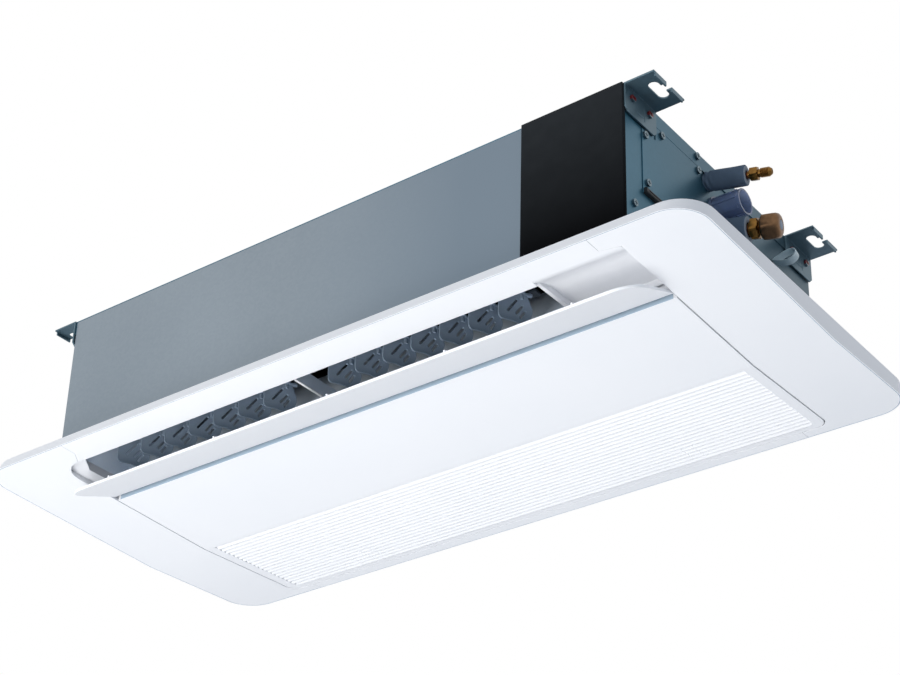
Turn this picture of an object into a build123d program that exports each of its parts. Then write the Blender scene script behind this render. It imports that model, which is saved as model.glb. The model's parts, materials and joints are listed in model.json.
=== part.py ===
"""One-way ceiling cassette air conditioner, in millimetres.

Origin: centre of the ceiling panel, on the ceiling plane.  +Z is up, +X points to the pipe end,
-Y to the air outlet.  Every piece is a solid of its own, written to parts/NAME.step.
"""
from math import acos, cos, radians, sin
import os

from build123d import *

# ---- ceiling panel's outline ----
panel_length = 1000.0
panel_depth = 478.0
panel_front = 243.0         # from the origin forward to the front edge
front_overhang = 37.0       # of the panel beyond the casing
rear_overhang = 46.0

# ---- casing above the ceiling ----
body_length = 812.0
body_depth = panel_depth - front_overhang - rear_overhang
body_height = 190.0
body_front = panel_front - front_overhang
sheet = 1.2                 # galvanised steel
cover_flange = 18.0         # folded edge of the top cover
foot_flange = 14.0          # inward fold at the foot of the end plates
edge_flange = 6.0           # inward fold at the foot of the front and rear plates
foam_length = 128.0
foam_thickness = 5.0

# ---- hangers ----
hanger_span = 860.0         # rod to rod, along X
hanger_inset = 28.0         # from the casing's front and rear to the rods, along Y
hanger_plate = 2.0
hanger_width = 60.0
hanger_reach = 37.0
hanger_drop = 35.0
hanger_lip = 6.0
rod_slot_width = 12.0       # for an M10 rod
rod_slot_length = 30.0
rod_throat = 10.5

# ---- screws ----
screw_head_radius = 4.2
screw_head_height = 2.4
screw_shank_radius = 1.9
screw_shank_length = 9.0
screw_play = 0.05
cross_width = 1.0
cross_depth = 1.2
cover_screw_drop = 6.0      # of the cover's screws below its top
pipe_end_screws = (-63.0, 31.0, 86.0)
plain_end_screws = (-100.0, 0.0, 100.0)
corner_screw_inset = 16.0
corner_screw_z = 49.0
hanger_screw_pitch = 33.0
hanger_screw_drop = 13.5

# ---- ceiling panel ----
panel_radius = 40.0
rim_draw_in = 7.0           # the front rim leans back this far towards the ceiling
front_lip = 15.0            # depth of the panel below the ceiling, front edge
crease_drop = 25.0          # at the crease
rear_lip = 17.0             # rear edge
crease_y = 46.0
skin = 3.0
rim_wall = 3.0
rim_edge = 1.2              # thin edge of the wall beside the end covers
seam = 0.4
opening_half = 402.0        # half the length of the grille and of the flap
seam_front_left = 40.0      # from the opening's ends in to the cover seams
seam_front_right = 22.0
seam_rear = 34.0
seam_front_run = 16.6       # from the flap's front edge to the seam's corner

# ---- intake grille ----
grille_front = -108.0
grille_rear_margin = 17.0   # from the panel's rear edge
grille_play = 1.2           # to the frame, front and rear
grille_radius = 14.0
grille_hinge_y = -101.0
grille_hinge_rise = 8.0
louvre_margin = 10.0
louvre_front_margin = 4.0   # from the crease to the louvres
louvre_rear_margin = 7.0
louvre_radius = 10.0
louvre_count = 20
louvre_thickness = 2.0
louvre_rise = 7.0
louvre_ribs = 7
rib_thickness = 2.0
rib_low = 4.0
grille_rim = 9.0
filter_thickness = 4.0
rib_proud = 0.6
filter_bar = 8.0
filter_gap = 2.0            # around the latches
filter_margin = 12.0
latch_x = 241.5
latch_width = 14.5
latch_slats = (15, 16, 17, 18)
latch_play = 0.3
latch_stroke = 5.0
latch_bite = 4.0
latch_thickness = 2.7

# ---- outlet and flap ----
flap_corner = 28.0
corner_steps = 6
flap_chord = 81.0
flap_tail = 4.0
flap_thickness = 3.2
flap_open = 24.0            # degrees that the flap hangs open in the stored pose
flap_hinge_y = -120.0
flap_hinge_z = -12.5
flap_pin_radius = 2.5
pin_play = 0.05
flap_play = 1.4
flap_ribs = (-369.0, -196.0, -23.0, 145.0, 307.0)
rail_gap = 3.0
rail_wall = 4.0
duct_left = -388.0          # at its mouth; the left wall leans in to the fan's end
duct_right = 292.0
fan_left = -362.0
duct_wall = 2.0
duct_height = 62.0
duct_front_low = -197.0
duct_front_high = -190.0
duct_rear_low = -125.0
duct_rear_high = -88.0
divider_x = -40.0           # low cross tie between the front and rear walls
divider_thickness = 1.5
divider_low = -10.0
divider_high = 8.0
scoop_front = -213.4        # where the scoop's rounded lip leaves the bar
scoop_lip = 20.0
scoop_sweep = 60.0
mouth_wall = 2.5
mouth_corner = (16.0, 22.0)     # cut-off corner at the mouth's front left
mouth_low = -10.5           # face above the closed flap
crossbar_low = -8.0
crossbar_rear = -112.5
seat_thickness = 3.0
panel_screw_inset = 7.5
panel_screw_front = -85.0
panel_screw_rear = 39.0     # from the casing's rear
web = 3.0
side_webs = (-100.0, 40.0, 150.0)
bar_webs = (-300.0, -100.0, 100.0, 300.0)
flap_tube_radius = 3.5
flap_gusset = 16.0
flap_motor_radius = 7.5
flap_motor_offset = 5.0
flap_motor_length = 14.0
pin_reach = 5.0

# ---- guide vanes ----
vane_pitch = 39.0
vanes_per_group = 7
group_middle_left = -211.0
group_middle_right = 119.0
vane_turn = -32.0           # degrees, stored pose
vane_pivot_y = -149.0
vane_nose = 26.0
vane_tail = 14.0
vane_top = 26.0
vane_bottom = -9.3
vane_nose_bottom = -8.0
vane_thickness = 2.4
vane_corner = 5.0
vane_sweep = 14.0           # radius of the long curves
vane_slot_width = 2.6
vane_slot_lean = 56.0
vane_slots = ((-10.2, 8.0, 20.0), (-2.2, 4.0, 13.5), (1.5, -0.6, 10.0))
vane_pin_radius = 2.5
vane_pin_play = 0.05
crank_radius = 10.0
crank_pin_radius = 1.5
crank_pin_play = 0.4
link_width = 11.0
link_thickness = 2.6
link_rise = 0.3
link_shift = 1.5
link_slot_spare = 0.3
rail_rise = 5.0
rail_height = 6.0
rail_depth = 14.0
vane_motor_radius = 11.0
vane_motor_height = 15.0

# ---- fan ----
fan_y = -112.0
fan_z = 122.0
rotor_radius = 48.0
rotor_blades = 30
blade_chord = 11.0
blade_thickness = 1.4
rotor_disc = 2.0
rotor_sections = 6
rotor_play = 5.0
shaft_radius = 4.0
shaft_play = 0.05
scroll_gap = 6.0
scroll_end = 12.0
motor_radius = 38.0
motor_length = 38.0
bearing_radius = 17.0

# ---- heat exchanger ----
coil_left = -366.0
coil_right = 268.0
coil_low_y = 60.0
coil_low_z = 40.0
coil_high_y = -38.0
coil_high_z = 168.0
coil_thickness = 28.0
coil_rows = 2
coil_tubes = 7
tube_radius = 4.0
tube_plate_margin = 4.0

# ---- condensate ----
pan_front = -60.0
pan_rear = 92.0
pan_height = 30.0
pan_wall = 5.0
pan_floor = 6.0
pump_x = 362.0
pump_y = 62.0
pump_radius = 19.0
pump_motor_radius = 16.0
pump_body_height = 38.0
pump_height = 100.0
pump_outlet = 27.0          # from the pump's axis forward to its outlet
float_x = 292.0
float_y = 30.0
float_radius = 13.0
float_height = 14.0
float_stem_radius = 3.0
float_play = 0.05
float_travel = 12.0
float_rest = 1.0
drain_y = -22.5
drain_z = 134.0
drain_bore_radius = 13.1
drain_wall = 2.2
drain_length = 36.0
drain_ribs = 8
hose_radius = 7.0
hose_bend = 22.0

# ---- refrigerant pipes ----
pipe_tilt = (1.0, 0.2, -0.1)    # direction in which both stubs leave the end plate
liquid_y = -41.5
liquid_z = 163.5
liquid_insulation_radius = 11.5
liquid_insulation_length = 46.0
liquid_pipe_radius = 3.175
liquid_hex = 14.0
liquid_hex_length = 9.0
liquid_flare_radius = 5.55
liquid_flare_length = 15.0
liquid_neck_radius = 4.4
liquid_nose_radius = 3.4
gas_y = -31.5
gas_z = 99.2
gas_insulation_radius = 15.5
gas_insulation_length = 40.0
gas_pipe_radius = 6.35
gas_hex = 22.0
gas_hex_length = 9.0
gas_flare_radius = 9.4
gas_flare_length = 14.0
gas_nut_hex = 27.0
gas_nut_length = 21.0
gas_nut_gap = 3.0
gas_plug_radius = 5.6
insulation_bore = 1.5
bushing = 1.5

# ---- control compartment ----
cover_thickness = 1.0
cover_front = -173.5
cover_rear = -56.0
cover_low = 72.0
cover_high = 172.0
box_length = 58.0
box_inset = 6.0
board_thickness = 1.6
board_stand = 5.0
terminal_size = (16.0, 40.0, 16.0)
grommet_length = 34.0
grommet_height = 6.0
grommet_out = 5.0
loop_y = 103.0
loop_z = 138.0
loop_radius = 15.0
loop_band = 1.6
loop_width = 9.0

X0 = -body_length / 2
X1 = body_length / 2
YF = -body_front
YR = body_depth - body_front
ZT = body_height
WALL = X1 - sheet           # outer face of the end plates
PANEL_X = panel_length / 2
PANEL_F = -panel_front
PANEL_R = panel_depth - panel_front
GRILLE_R = PANEL_R - grille_rear_margin
RAIL = opening_half + rail_gap          # inner face of the rails beside the opening


# ---------- shape helpers ----------
def block(x0, x1, y0, y1, z0, z1):
    """A box between two corners."""
    place = Pos((x0 + x1) / 2, (y0 + y1) / 2, (z0 + z1) / 2)
    return place * Box(x1 - x0, y1 - y0, z1 - z0)


def along_x(points, x0, x1):
    """A (y, z) outline carried from x0 to x1."""
    outline = Plane.YZ.offset(x0) * Polygon(*points, align=None)
    return extrude(outline, amount=x1 - x0, dir=(1, 0, 0))


def along_z(points, z0, z1):
    """An (x, y) outline carried from z0 to z1."""
    outline = Plane.XY.offset(z0) * Polygon(*points, align=None)
    return extrude(outline, amount=z1 - z0, dir=(0, 0, 1))


def rod(start, direction, length, radius):
    """A round bar from a point along a direction."""
    return Plane(origin=start, z_dir=direction) * Cylinder(
        radius, length, align=(Align.CENTER, Align.CENTER, Align.MIN))


def rod_x(x0, x1, y, z, radius):
    """A round bar along X."""
    return rod((x0, y, z), (1, 0, 0), x1 - x0, radius)


def rod_z(x, y, z0, z1, radius):
    """A round bar along Z."""
    return rod((x, y, z0), (0, 0, 1), z1 - z0, radius)


def hexagon_bar(start, direction, length, across_flats):
    """A six-sided bar from a point along a direction."""
    place = Plane(origin=start, z_dir=direction)
    flat = RegularPolygon(across_flats / 2, 6, major_radius=False)
    return place * extrude(flat, amount=length)


def step_along(start, direction, distance):
    """The point a distance from start along a direction."""
    return tuple(Vector(*start) + Vector(*direction).normalized() * distance)


def round_block(x0, x1, y0, y1, z0, z1, radius):
    """An upright block with four rounded corners."""
    place = Pos((x0 + x1) / 2, (y0 + y1) / 2, z0)
    return place * extrude(RectangleRounded(x1 - x0, y1 - y0, radius), amount=z1 - z0)


# ---------- screws ----------
def end_screws():
    """Screws on the end faces: (side, y, z, x of the face under the head)."""
    hanger_face = X1 + hanger_plate
    rows = []
    for side in (-1, 1):
        for middle in hanger_ys():
            for end in (-1, 1):
                y = middle + end * hanger_screw_pitch / 2
                rows.append((side, y, ZT - hanger_screw_drop, hanger_face))
    for y in pipe_end_screws:
        rows.append((1, y, ZT - cover_screw_drop, X1))
    for y in plain_end_screws:
        rows.append((-1, y, ZT - cover_screw_drop, X1))
    for side in (-1, 1):
        rows.append((side, YF + corner_screw_inset, corner_screw_z, WALL))
    for y, z in cover_screw_places():
        rows.append((1, y, z, WALL + cover_thickness))
    return rows


def cover_screw_places():
    """(y, z) of the screws that hold the control cover."""
    inset = 5.5
    return [(cover_front + inset, cover_high - 25.0), (cover_front + 38.5, cover_high - inset),
            (cover_front + inset + 3.0, cover_low + 16.0), (cover_rear - inset, cover_high - inset)]


def screw(side, y, z, face):
    """A pan-head screw driven inwards from a face at the given X."""
    head = rod((side * face, y, z), (side, 0, 0), screw_head_height, screw_head_radius)
    shank = rod((side * face, y, z), (-side, 0, 0), screw_shank_length, screw_shank_radius)
    out = side * (face + screw_head_height)
    arm = 1.3 * screw_head_radius
    middle = Pos(out, y, z)
    cross = middle * Box(2 * cross_depth, arm, cross_width) + middle * Box(2 * cross_depth, cross_width, arm)
    return head + shank - cross


def screw_holes(solid, rows):
    """Clearance holes through a piece for the given screws."""
    radius = screw_shank_radius + screw_play
    for side, y, z, face in rows:
        hole = rod((side * (face + 1), y, z), (-side, 0, 0), screw_shank_length + 2, radius)
        solid = solid - hole
    return solid


# ---------- casing ----------
def top_cover():
    """Flat lid with a folded edge on both ends and the rear."""
    lid = block(X0, X1, YF, YR, ZT - sheet, ZT)
    left = block(X0, X0 + sheet, YF, YR, ZT - cover_flange, ZT)
    right = block(X1 - sheet, X1, YF, YR, ZT - cover_flange, ZT)
    rear = block(X0, X1, YR - sheet, YR, ZT - cover_flange, ZT)
    return screw_holes(lid + left + right + rear, end_screws())


def front_plate():
    """Front wall, with a narrow fold at its foot."""
    wall = block(-WALL, WALL, YF, YF + sheet, 0, ZT - sheet)
    reach = WALL - sheet - foot_flange
    foot = block(-reach, reach, YF, YF + edge_flange, 0, sheet)
    return wall + foot


def rear_plate():
    """Rear wall, inside the cover's folded edge."""
    wall = block(-WALL, WALL, YR - 2 * sheet, YR - sheet, 0, ZT - sheet)
    reach = WALL - sheet - foot_flange
    foot = block(-reach, reach, YR - sheet - edge_flange, YR - sheet, 0, sheet)
    return wall + foot


def end_plate(side):
    """End wall between the front and rear plates, with a fold at its foot."""
    y0, y1 = YF + sheet, YR - 2 * sheet
    outer, inner = side * WALL, side * (WALL - sheet)
    wall = block(min(outer, inner), max(outer, inner), y0, y1, 0, ZT - sheet)
    reach = side * (WALL - sheet - foot_flange)
    foot = block(min(outer, reach), max(outer, reach), y0, y1, 0, sheet)
    plate = wall + foot
    if side > 0:
        plate = plate - pipe_holes() - cover_window()
    return screw_holes(plate, end_screws())


def pipe_holes():
    """Openings in the right end for the two pipes and the drain socket."""
    start = WALL - 3 * sheet
    liquid = rod(step_along((WALL, liquid_y, liquid_z), pipe_tilt, -8), pipe_tilt, 16,
                 liquid_pipe_radius + bushing)
    gas = rod(step_along((WALL, gas_y, gas_z), pipe_tilt, -8), pipe_tilt, 16,
              gas_pipe_radius + bushing)
    drain = rod_x(start, WALL + sheet, drain_y, drain_z, hose_radius + 0.3)
    return liquid + gas + drain


def cover_window():
    """Opening behind the control cover."""
    rim = 12.0
    return block(WALL - 2 * sheet, WALL + sheet, cover_front + rim, cover_rear - rim,
                 cover_low + rim, cover_high - 2 * rim)


def front_foam():
    """Black insulation sheet glued to the right third of the front plate."""
    return block(X1 - foam_length, X1, YF - foam_thickness, YF, 0, ZT)


def partition():
    """Sheet wall between the fan and the compartment on the right."""
    wall = block(duct_right, duct_right + sheet, YF + sheet, pan_front - 2.0, sheet, ZT - sheet)
    foot = block(duct_right, duct_right + sheet, YF + edge_flange, pan_front - 2.0, 0, sheet)
    hole = rod_x(duct_right - 1, duct_right + sheet + 1, fan_y, fan_z, shaft_radius + 3)
    return wall + foot - hole


# ---------- hangers ----------
def hanger_ys():
    """Y of the two rod slots at each end."""
    return (YF + hanger_inset, YR - hanger_inset)


def hanger(side, middle):
    """Folded bracket: side plate, top plate with an open rod slot, lipped outer edge."""
    y0, y1 = middle - hanger_width / 2, middle + hanger_width / 2
    rod_x_place = hanger_span / 2
    side_plate = block(X1, X1 + hanger_plate, y0, y1, ZT - hanger_drop, ZT)
    side_plate = chamfer(side_plate.edges().filter_by(Axis.X).group_by(Axis.Z)[0], 5.0)
    top = block(X1, X1 + hanger_reach, y0, y1, ZT - hanger_plate, ZT)
    lip_x = X1 + hanger_reach
    lip = block(lip_x - hanger_plate, lip_x, y0 + 3, y1 - 3, ZT - hanger_lip, ZT)
    bracket = side_plate + top + lip
    straight = rod_slot_length - rod_slot_width
    slot = block(rod_x_place - rod_slot_width / 2, rod_x_place + rod_slot_width / 2,
                 middle - straight / 2, middle + straight / 2, ZT - 2 * hanger_lip, ZT + 1)
    for end in (-1, 1):
        slot = slot + rod_z(rod_x_place, middle + end * straight / 2, ZT - 2 * hanger_lip, ZT + 1,
                            rod_slot_width / 2)
    throat = block(rod_x_place, lip_x + 1, middle - rod_throat / 2, middle + rod_throat / 2,
                   ZT - 2 * hanger_lip, ZT + 1)
    mark = block(X1 + hanger_plate - 0.6, X1 + hanger_plate + 1, middle + 6, middle + 7.5,
                 ZT - 29, ZT - 13)
    mark = mark + block(X1 + hanger_plate - 0.6, X1 + hanger_plate + 1, middle - 7, middle + 7,
                        ZT - 26.5, ZT - 25)
    bracket = bracket - slot - throat - mark
    if side < 0:
        bracket = mirror(bracket, about=Plane.YZ)
    return screw_holes(bracket, end_screws())


# ---------- control compartment ----------
def control_cover():
    """Flat plate over the control box opening, notched round the hanger."""
    plate = block(WALL, WALL + cover_thickness, cover_front, cover_rear, cover_low, cover_high)
    notch_rear = hanger_ys()[0] + hanger_width / 2 + 1.0
    notch = block(WALL - 1, WALL + 2 * cover_thickness, cover_front - 1, notch_rear,
                  ZT - hanger_drop - 1.5, cover_high + 1)
    grommet = block(WALL - 1, WALL + 2 * cover_thickness, cover_front + 1,
                    cover_front + 1 + grommet_length, cover_low - 1, cover_low + grommet_height)
    return screw_holes(plate - notch - grommet, end_screws())


def cable_grommet():
    """Black rubber strip that lines the cable entry at the foot of the control cover."""
    y0 = cover_front + 1
    strip = block(WALL, WALL + grommet_out, y0, y0 + grommet_length, cover_low,
                  cover_low + grommet_height)
    slit = block(WALL + 1.5, WALL + 2 * grommet_out, y0 + 4, y0 + grommet_length - 4,
                 cover_low + grommet_height / 2 - 0.6, cover_low + grommet_height / 2 + 0.6)
    return fillet(strip.edges().filter_by(Axis.Y).group_by(Axis.X)[-1], 1.5) - slit


def control_box():
    """Open-faced steel tray behind the control cover."""
    x0 = WALL - sheet - box_length
    y0, y1 = cover_front + box_inset, cover_rear - box_inset
    z0, z1 = cover_low + box_inset, cover_high - 2 * box_inset
    outer = block(x0, WALL - sheet, y0, y1, z0, z1)
    inner = block(x0 + sheet, WALL, y0 + sheet, y1 - sheet, z0 + sheet, z1 - sheet)
    return screw_holes(outer - inner, end_screws())


def control_board():
    """Circuit board on four stand-offs, with its terminal block and larger parts."""
    floor = WALL - box_length
    y0, y1 = cover_front + box_inset + 12, cover_rear - box_inset - 12
    z0, z1 = cover_low + box_inset + 10, cover_high - 2 * box_inset - 10
    face = floor + board_stand + board_thickness
    board = block(floor + board_stand, face, y0, y1, z0, z1)
    for y in (y0 + 4, y1 - 4):
        for z in (z0 + 4, z1 - 4):
            board = board + rod_x(floor, floor + board_stand, y, z, 2.5)
    deep, wide, tall = terminal_size
    board = board + block(face, face + deep, y0 + 3, y0 + 3 + wide, z0 + 2, z0 + 2 + tall)
    for number in range(4):
        y = y0 + 8 + number * 9.0
        board = board - rod_x(face + deep - 4, face + deep + 1, y, z0 + 2 + tall / 2, 2.6)
    board = board + rod_x(face, face + 18, y1 - 14, z1 - 14, 7)
    return board + block(face, face + 11, y0 + 6, y0 + 30, z1 - 18, z1 - 6)


def cable_loop():
    """Nylon strap looped through an eye on the end plate, to hold the field cables."""
    middle = (WALL + loop_radius + 0.2, loop_y, loop_z)
    place = Plane(origin=middle, x_dir=(1, 0, 0), z_dir=(0, 1, -0.35))
    ring = Cylinder(loop_radius, loop_width) - Cylinder(loop_radius - loop_band, loop_width + 2)
    ring = scale(ring, (1.0, 0.72, 1.0))
    foot = block(WALL, WALL + 2.4, loop_y - 5, loop_y + 5, loop_z - 6, loop_z + 6)
    return place * ring + foot


# ---------- fan ----------
def fan_rotor():
    """Cross-flow rotor: discs joined by a ring of curved blades, on a hub at each end."""
    x0 = fan_left + duct_wall + rotor_play
    x1 = duct_right - rotor_play
    pitch = (x1 - x0 - rotor_disc) / rotor_sections
    rotor = rod_x(x0, x0 + 10, fan_y, fan_z, 12) + rod_x(x1 - 10, x1, fan_y, fan_z, 12)
    for number in range(rotor_sections + 1):
        start = x0 + number * pitch
        disc = rod_x(start, start + rotor_disc, fan_y, fan_z, rotor_radius)
        if 0 < number < rotor_sections:
            disc = disc - rod_x(start - 1, start + rotor_disc + 1, fan_y, fan_z,
                                rotor_radius - 1.4 * blade_chord)
        rotor = rotor + disc
    blade = Pos(rotor_radius - blade_chord / 2 - 0.6, 0) * Rot(0, 0, 28) * Rectangle(
        blade_chord, blade_thickness)
    place = Plane(origin=(x0, fan_y, fan_z), x_dir=(0, 1, 0), z_dir=(1, 0, 0))
    bars = []
    for number in range(rotor_blades):
        turned = Rot(0, 0, number * 360.0 / rotor_blades) * blade
        bars.append(extrude(place * turned, amount=x1 - x0, dir=(1, 0, 0)))
    rotor = rotor + bars
    return rotor - rod_x(x0 - 1, x1 + 1, fan_y, fan_z, shaft_radius)


def fan_shaft():
    """Steel shaft through the rotor, from the left bearing into the motor."""
    return rod_x(-WALL + sheet + 6, duct_right + sheet + motor_length - 8, fan_y, fan_z, shaft_radius)


def fan_bearing():
    """Rubber-mounted plain bearing on the left end plate."""
    start = -WALL + sheet
    end = coil_left - scroll_end
    body = rod_x(start, start + 4, fan_y, fan_z, bearing_radius)
    body = body + rod_x(start, end, fan_y, fan_z, bearing_radius * 0.65)
    return body - rod_x(start + 3, end + 1, fan_y, fan_z, shaft_radius + shaft_play)


def fan_motor():
    """Moulded motor on the partition."""
    start = duct_right + sheet
    body = rod_x(start, start + motor_length, fan_y, fan_z, motor_radius)
    body = chamfer(body.edges().group_by(Axis.X)[-1], 5)
    feet = block(start, start + 4, fan_y - motor_radius - 5, fan_y + motor_radius + 5, fan_z - 9, fan_z + 9)
    bore = rod_x(start - 1, start + motor_length - 6, fan_y, fan_z, shaft_radius + shaft_play)
    return body + feet - bore


def fan_scroll():
    """Foam scroll that wraps the rotor from the front over the top, with the rear tongue."""
    x0 = coil_left - scroll_end
    front, top, rear = YF + sheet, ZT - sheet, fan_y + rotor_radius + 2
    inside = x0 + scroll_end
    body = block(x0, duct_right, front, fan_y + 0.6 * rotor_radius, duct_height, top)
    cavity = rod_x(inside, duct_right + 1, fan_y, fan_z, rotor_radius + scroll_gap)
    passage = block(inside, duct_right + 1, duct_front_high + duct_wall, rear + 1,
                    duct_height - 1, fan_z)
    cap = block(x0, inside, front, rear, duct_height, top)
    tongue = along_x([(duct_rear_high, duct_height), (rear, duct_height), (rear, fan_z - 40),
                      (rear - 14, fan_z - 36)], inside, duct_right)
    shaft = rod_x(x0 - 1, inside + 1, fan_y, fan_z, shaft_radius + 4)
    return body - cavity - passage + cap + tongue - shaft


# ---------- heat exchanger ----------
def coil_axes():
    """Unit vectors along the slab's height and through its thickness, in (y, z)."""
    run = Vector(0, coil_high_y - coil_low_y, coil_high_z - coil_low_z)
    up = run.normalized()
    through = Vector(0, up.Z, -up.Y)
    return up, through, run.length


def coil_outline(margin):
    """Corners (y, z) of the tilted slab, grown by a margin."""
    up, through, length = coil_axes()
    low = Vector(0, coil_low_y, coil_low_z)
    corners = []
    for along, across in ((-margin, -1), (-margin, 1), (length + margin, 1), (length + margin, -1)):
        spot = low + up * along + through * across * (coil_thickness / 2 + margin)
        corners.append((spot.Y, spot.Z))
    return corners


def tube_points():
    """(y, z) of every tube, row by row from bottom to top."""
    up, through, length = coil_axes()
    low = Vector(0, coil_low_y, coil_low_z)
    rows = []
    for row in range(coil_rows):
        across = (row + 0.5) / coil_rows * coil_thickness - coil_thickness / 2
        line = []
        for number in range(coil_tubes):
            spot = low + up * ((number + 0.5) / coil_tubes * length) + through * across
            line.append((spot.Y, spot.Z))
        rows.append(line)
    return rows


def exchanger_fins():
    """Tilted aluminium fin block with its tube holes."""
    slab = along_x(coil_outline(0), coil_left, coil_right)
    for line in tube_points():
        for y, z in line:
            slab = slab - rod_x(coil_left - 1, coil_right + 1, y, z, tube_radius)
    return slab


def bend(x, first, second, side):
    """Half-circle tube bend between two (y, z) points, bulging along side."""
    start, end = Vector(x, *first), Vector(x, *second)
    reach = (end - start).length / 2
    crown = (start + end) * 0.5 + Vector(side * reach, 0, 0)
    path = ThreePointArc(start, crown, end)
    return sweep(Plane(origin=start, z_dir=(side, 0, 0)) * Circle(tube_radius), path=path)


def exchanger_tubes():
    """Copper tubes with their bends, one serpentine for each row."""
    x0, x1 = coil_left - sheet, coil_right + sheet
    rows = tube_points()
    tubes = []
    for line in rows:
        for y, z in line:
            tubes.append(rod_x(x0, x1, y, z, tube_radius))
        for number in range(len(line) - 1):
            side = -1 if number % 2 == 0 else 1
            tubes.append(bend(x0 if side < 0 else x1, line[number], line[number + 1], side))
    tubes.append(bend(x0, rows[0][-1], rows[1][-1], -1))
    return Part() + tubes


def tube_plates():
    """Steel plates at both ends of the coil, from the pan floor to the top cover."""
    plates = []
    for x in (coil_left - sheet, coil_right):
        plate = along_x(coil_outline(tube_plate_margin), x, x + sheet)
        foot_z = sheet + pan_floor
        foot = block(x, x + sheet, coil_low_y - 22, coil_low_y + 14, foot_z, coil_low_z)
        head = block(x, x + sheet, coil_high_y - 16, coil_high_y + 22, coil_high_z - 10, ZT - sheet)
        plate = plate + foot + head
        for line in tube_points():
            for y, z in line:
                plate = plate - rod_x(x - 1, x + sheet + 1, y, z, tube_radius)
        plates.append(plate)
    return Compound(plates)


def union_route(index, y, z):
    """Points from a tube end to the wall opening and out along the tilted stub."""
    tube_y, tube_z = tube_points()[index][0]
    inner = step_along((WALL, y, z), pipe_tilt, -22)
    start = (coil_right + sheet, tube_y, tube_z)
    near = (coil_right + sheet + 32, tube_y, tube_z)
    return start, near, inner


def pipe(index, y, z, radius, reach):
    """Copper pipe from the coil to a point beyond the end plate."""
    start, near, inner = union_route(index, y, z)
    end = step_along((WALL, y, z), pipe_tilt, reach)
    path = FilletPolyline(start, near, inner, end, radius=14)
    section = Plane(origin=start, z_dir=(1, 0, 0)) * Circle(radius)
    return sweep(section, path=path)


def insulation(y, z, radius, length, pipe_radius):
    """Foam sleeve round a pipe stub, cut square against the end plate."""
    start = step_along((WALL, y, z), pipe_tilt, -radius)
    sleeve = rod(start, pipe_tilt, length + radius, radius)
    sleeve = sleeve - rod(start, pipe_tilt, length + 2 * radius, pipe_radius + insulation_bore)
    reach = 2 * length
    sleeve = sleeve - block(WALL - reach, WALL, y - reach, y + reach, z - reach, z + reach)
    return sleeve - block(WALL, X1, y - reach, y + reach, ZT - cover_flange, ZT)


def liquid_pipe():
    """Copper liquid pipe, brazed into its union."""
    return pipe(0, liquid_y, liquid_z, liquid_pipe_radius, liquid_insulation_length + 4)


def liquid_insulation():
    """Grey foam sleeve on the liquid pipe."""
    return insulation(liquid_y, liquid_z, liquid_insulation_radius, liquid_insulation_length,
                      liquid_pipe_radius)


def liquid_union():
    """Brass flare union: hexagon, thread and flare nose, with a through bore."""
    base = step_along((WALL, liquid_y, liquid_z), pipe_tilt, liquid_insulation_length + 4)
    collar = step_along(base, pipe_tilt, -2.5)
    body = rod(collar, pipe_tilt, 2.5, liquid_pipe_radius + 1.2)
    body = body - rod(collar, pipe_tilt, 2.5, liquid_pipe_radius)
    body = body + hexagon_bar(base, pipe_tilt, liquid_hex_length, liquid_hex)
    neck = step_along(base, pipe_tilt, liquid_hex_length)
    body = body + rod(neck, pipe_tilt, 3, liquid_neck_radius)
    thread = step_along(neck, pipe_tilt, 3)
    body = body + rod(thread, pipe_tilt, liquid_flare_length - 5, liquid_flare_radius)
    nose = step_along(thread, pipe_tilt, liquid_flare_length - 5)
    cone = Plane(origin=nose, z_dir=pipe_tilt) * Cone(
        liquid_flare_radius, liquid_nose_radius, 2.5, align=(Align.CENTER, Align.CENTER, Align.MIN))
    bore = rod(base, pipe_tilt, 60, 2.3)
    return body + cone - bore


def gas_pipe():
    """Copper gas pipe, brazed into its union."""
    return pipe(1, gas_y, gas_z, gas_pipe_radius, gas_insulation_length + 3)


def gas_insulation():
    """Grey foam sleeve on the gas pipe."""
    return insulation(gas_y, gas_z, gas_insulation_radius, gas_insulation_length, gas_pipe_radius)


def gas_union():
    """Brass flare union of the gas pipe: hexagon and threaded flare."""
    base = step_along((WALL, gas_y, gas_z), pipe_tilt, gas_insulation_length + 3)
    collar = step_along(base, pipe_tilt, -2)
    body = rod(collar, pipe_tilt, 2, gas_pipe_radius + 1.6) - rod(collar, pipe_tilt, 2, gas_pipe_radius)
    body = body + hexagon_bar(base, pipe_tilt, gas_hex_length, gas_hex)
    thread = step_along(base, pipe_tilt, gas_hex_length)
    body = body + rod(thread, pipe_tilt, gas_flare_length, gas_flare_radius)
    return body - rod(base, pipe_tilt, 60, gas_pipe_radius - 1)


def gas_nut():
    """Large hexagonal flare nut screwed over the gas union."""
    base = step_along((WALL, gas_y, gas_z), pipe_tilt, gas_insulation_length + 3)
    start = step_along(base, pipe_tilt, gas_hex_length + gas_nut_gap)
    nut = hexagon_bar(start, pipe_tilt, gas_nut_length, gas_nut_hex)
    rounding = rod(start, pipe_tilt, gas_nut_length, gas_nut_hex * 0.56)
    seat = rod(start, pipe_tilt, gas_flare_length - gas_nut_gap, gas_flare_radius)
    hole = rod(start, pipe_tilt, gas_nut_length + 1, gas_plug_radius)
    return (nut & rounding) - seat - hole


def gas_plug():
    """Plastic plug that closes the gas nut until the unit is piped."""
    base = step_along((WALL, gas_y, gas_z), pipe_tilt, gas_insulation_length + 3)
    start = step_along(base, pipe_tilt, gas_hex_length + gas_flare_length)
    length = gas_nut_length + gas_nut_gap - gas_flare_length
    return rod(start, pipe_tilt, length - 0.5, gas_plug_radius)


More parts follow.
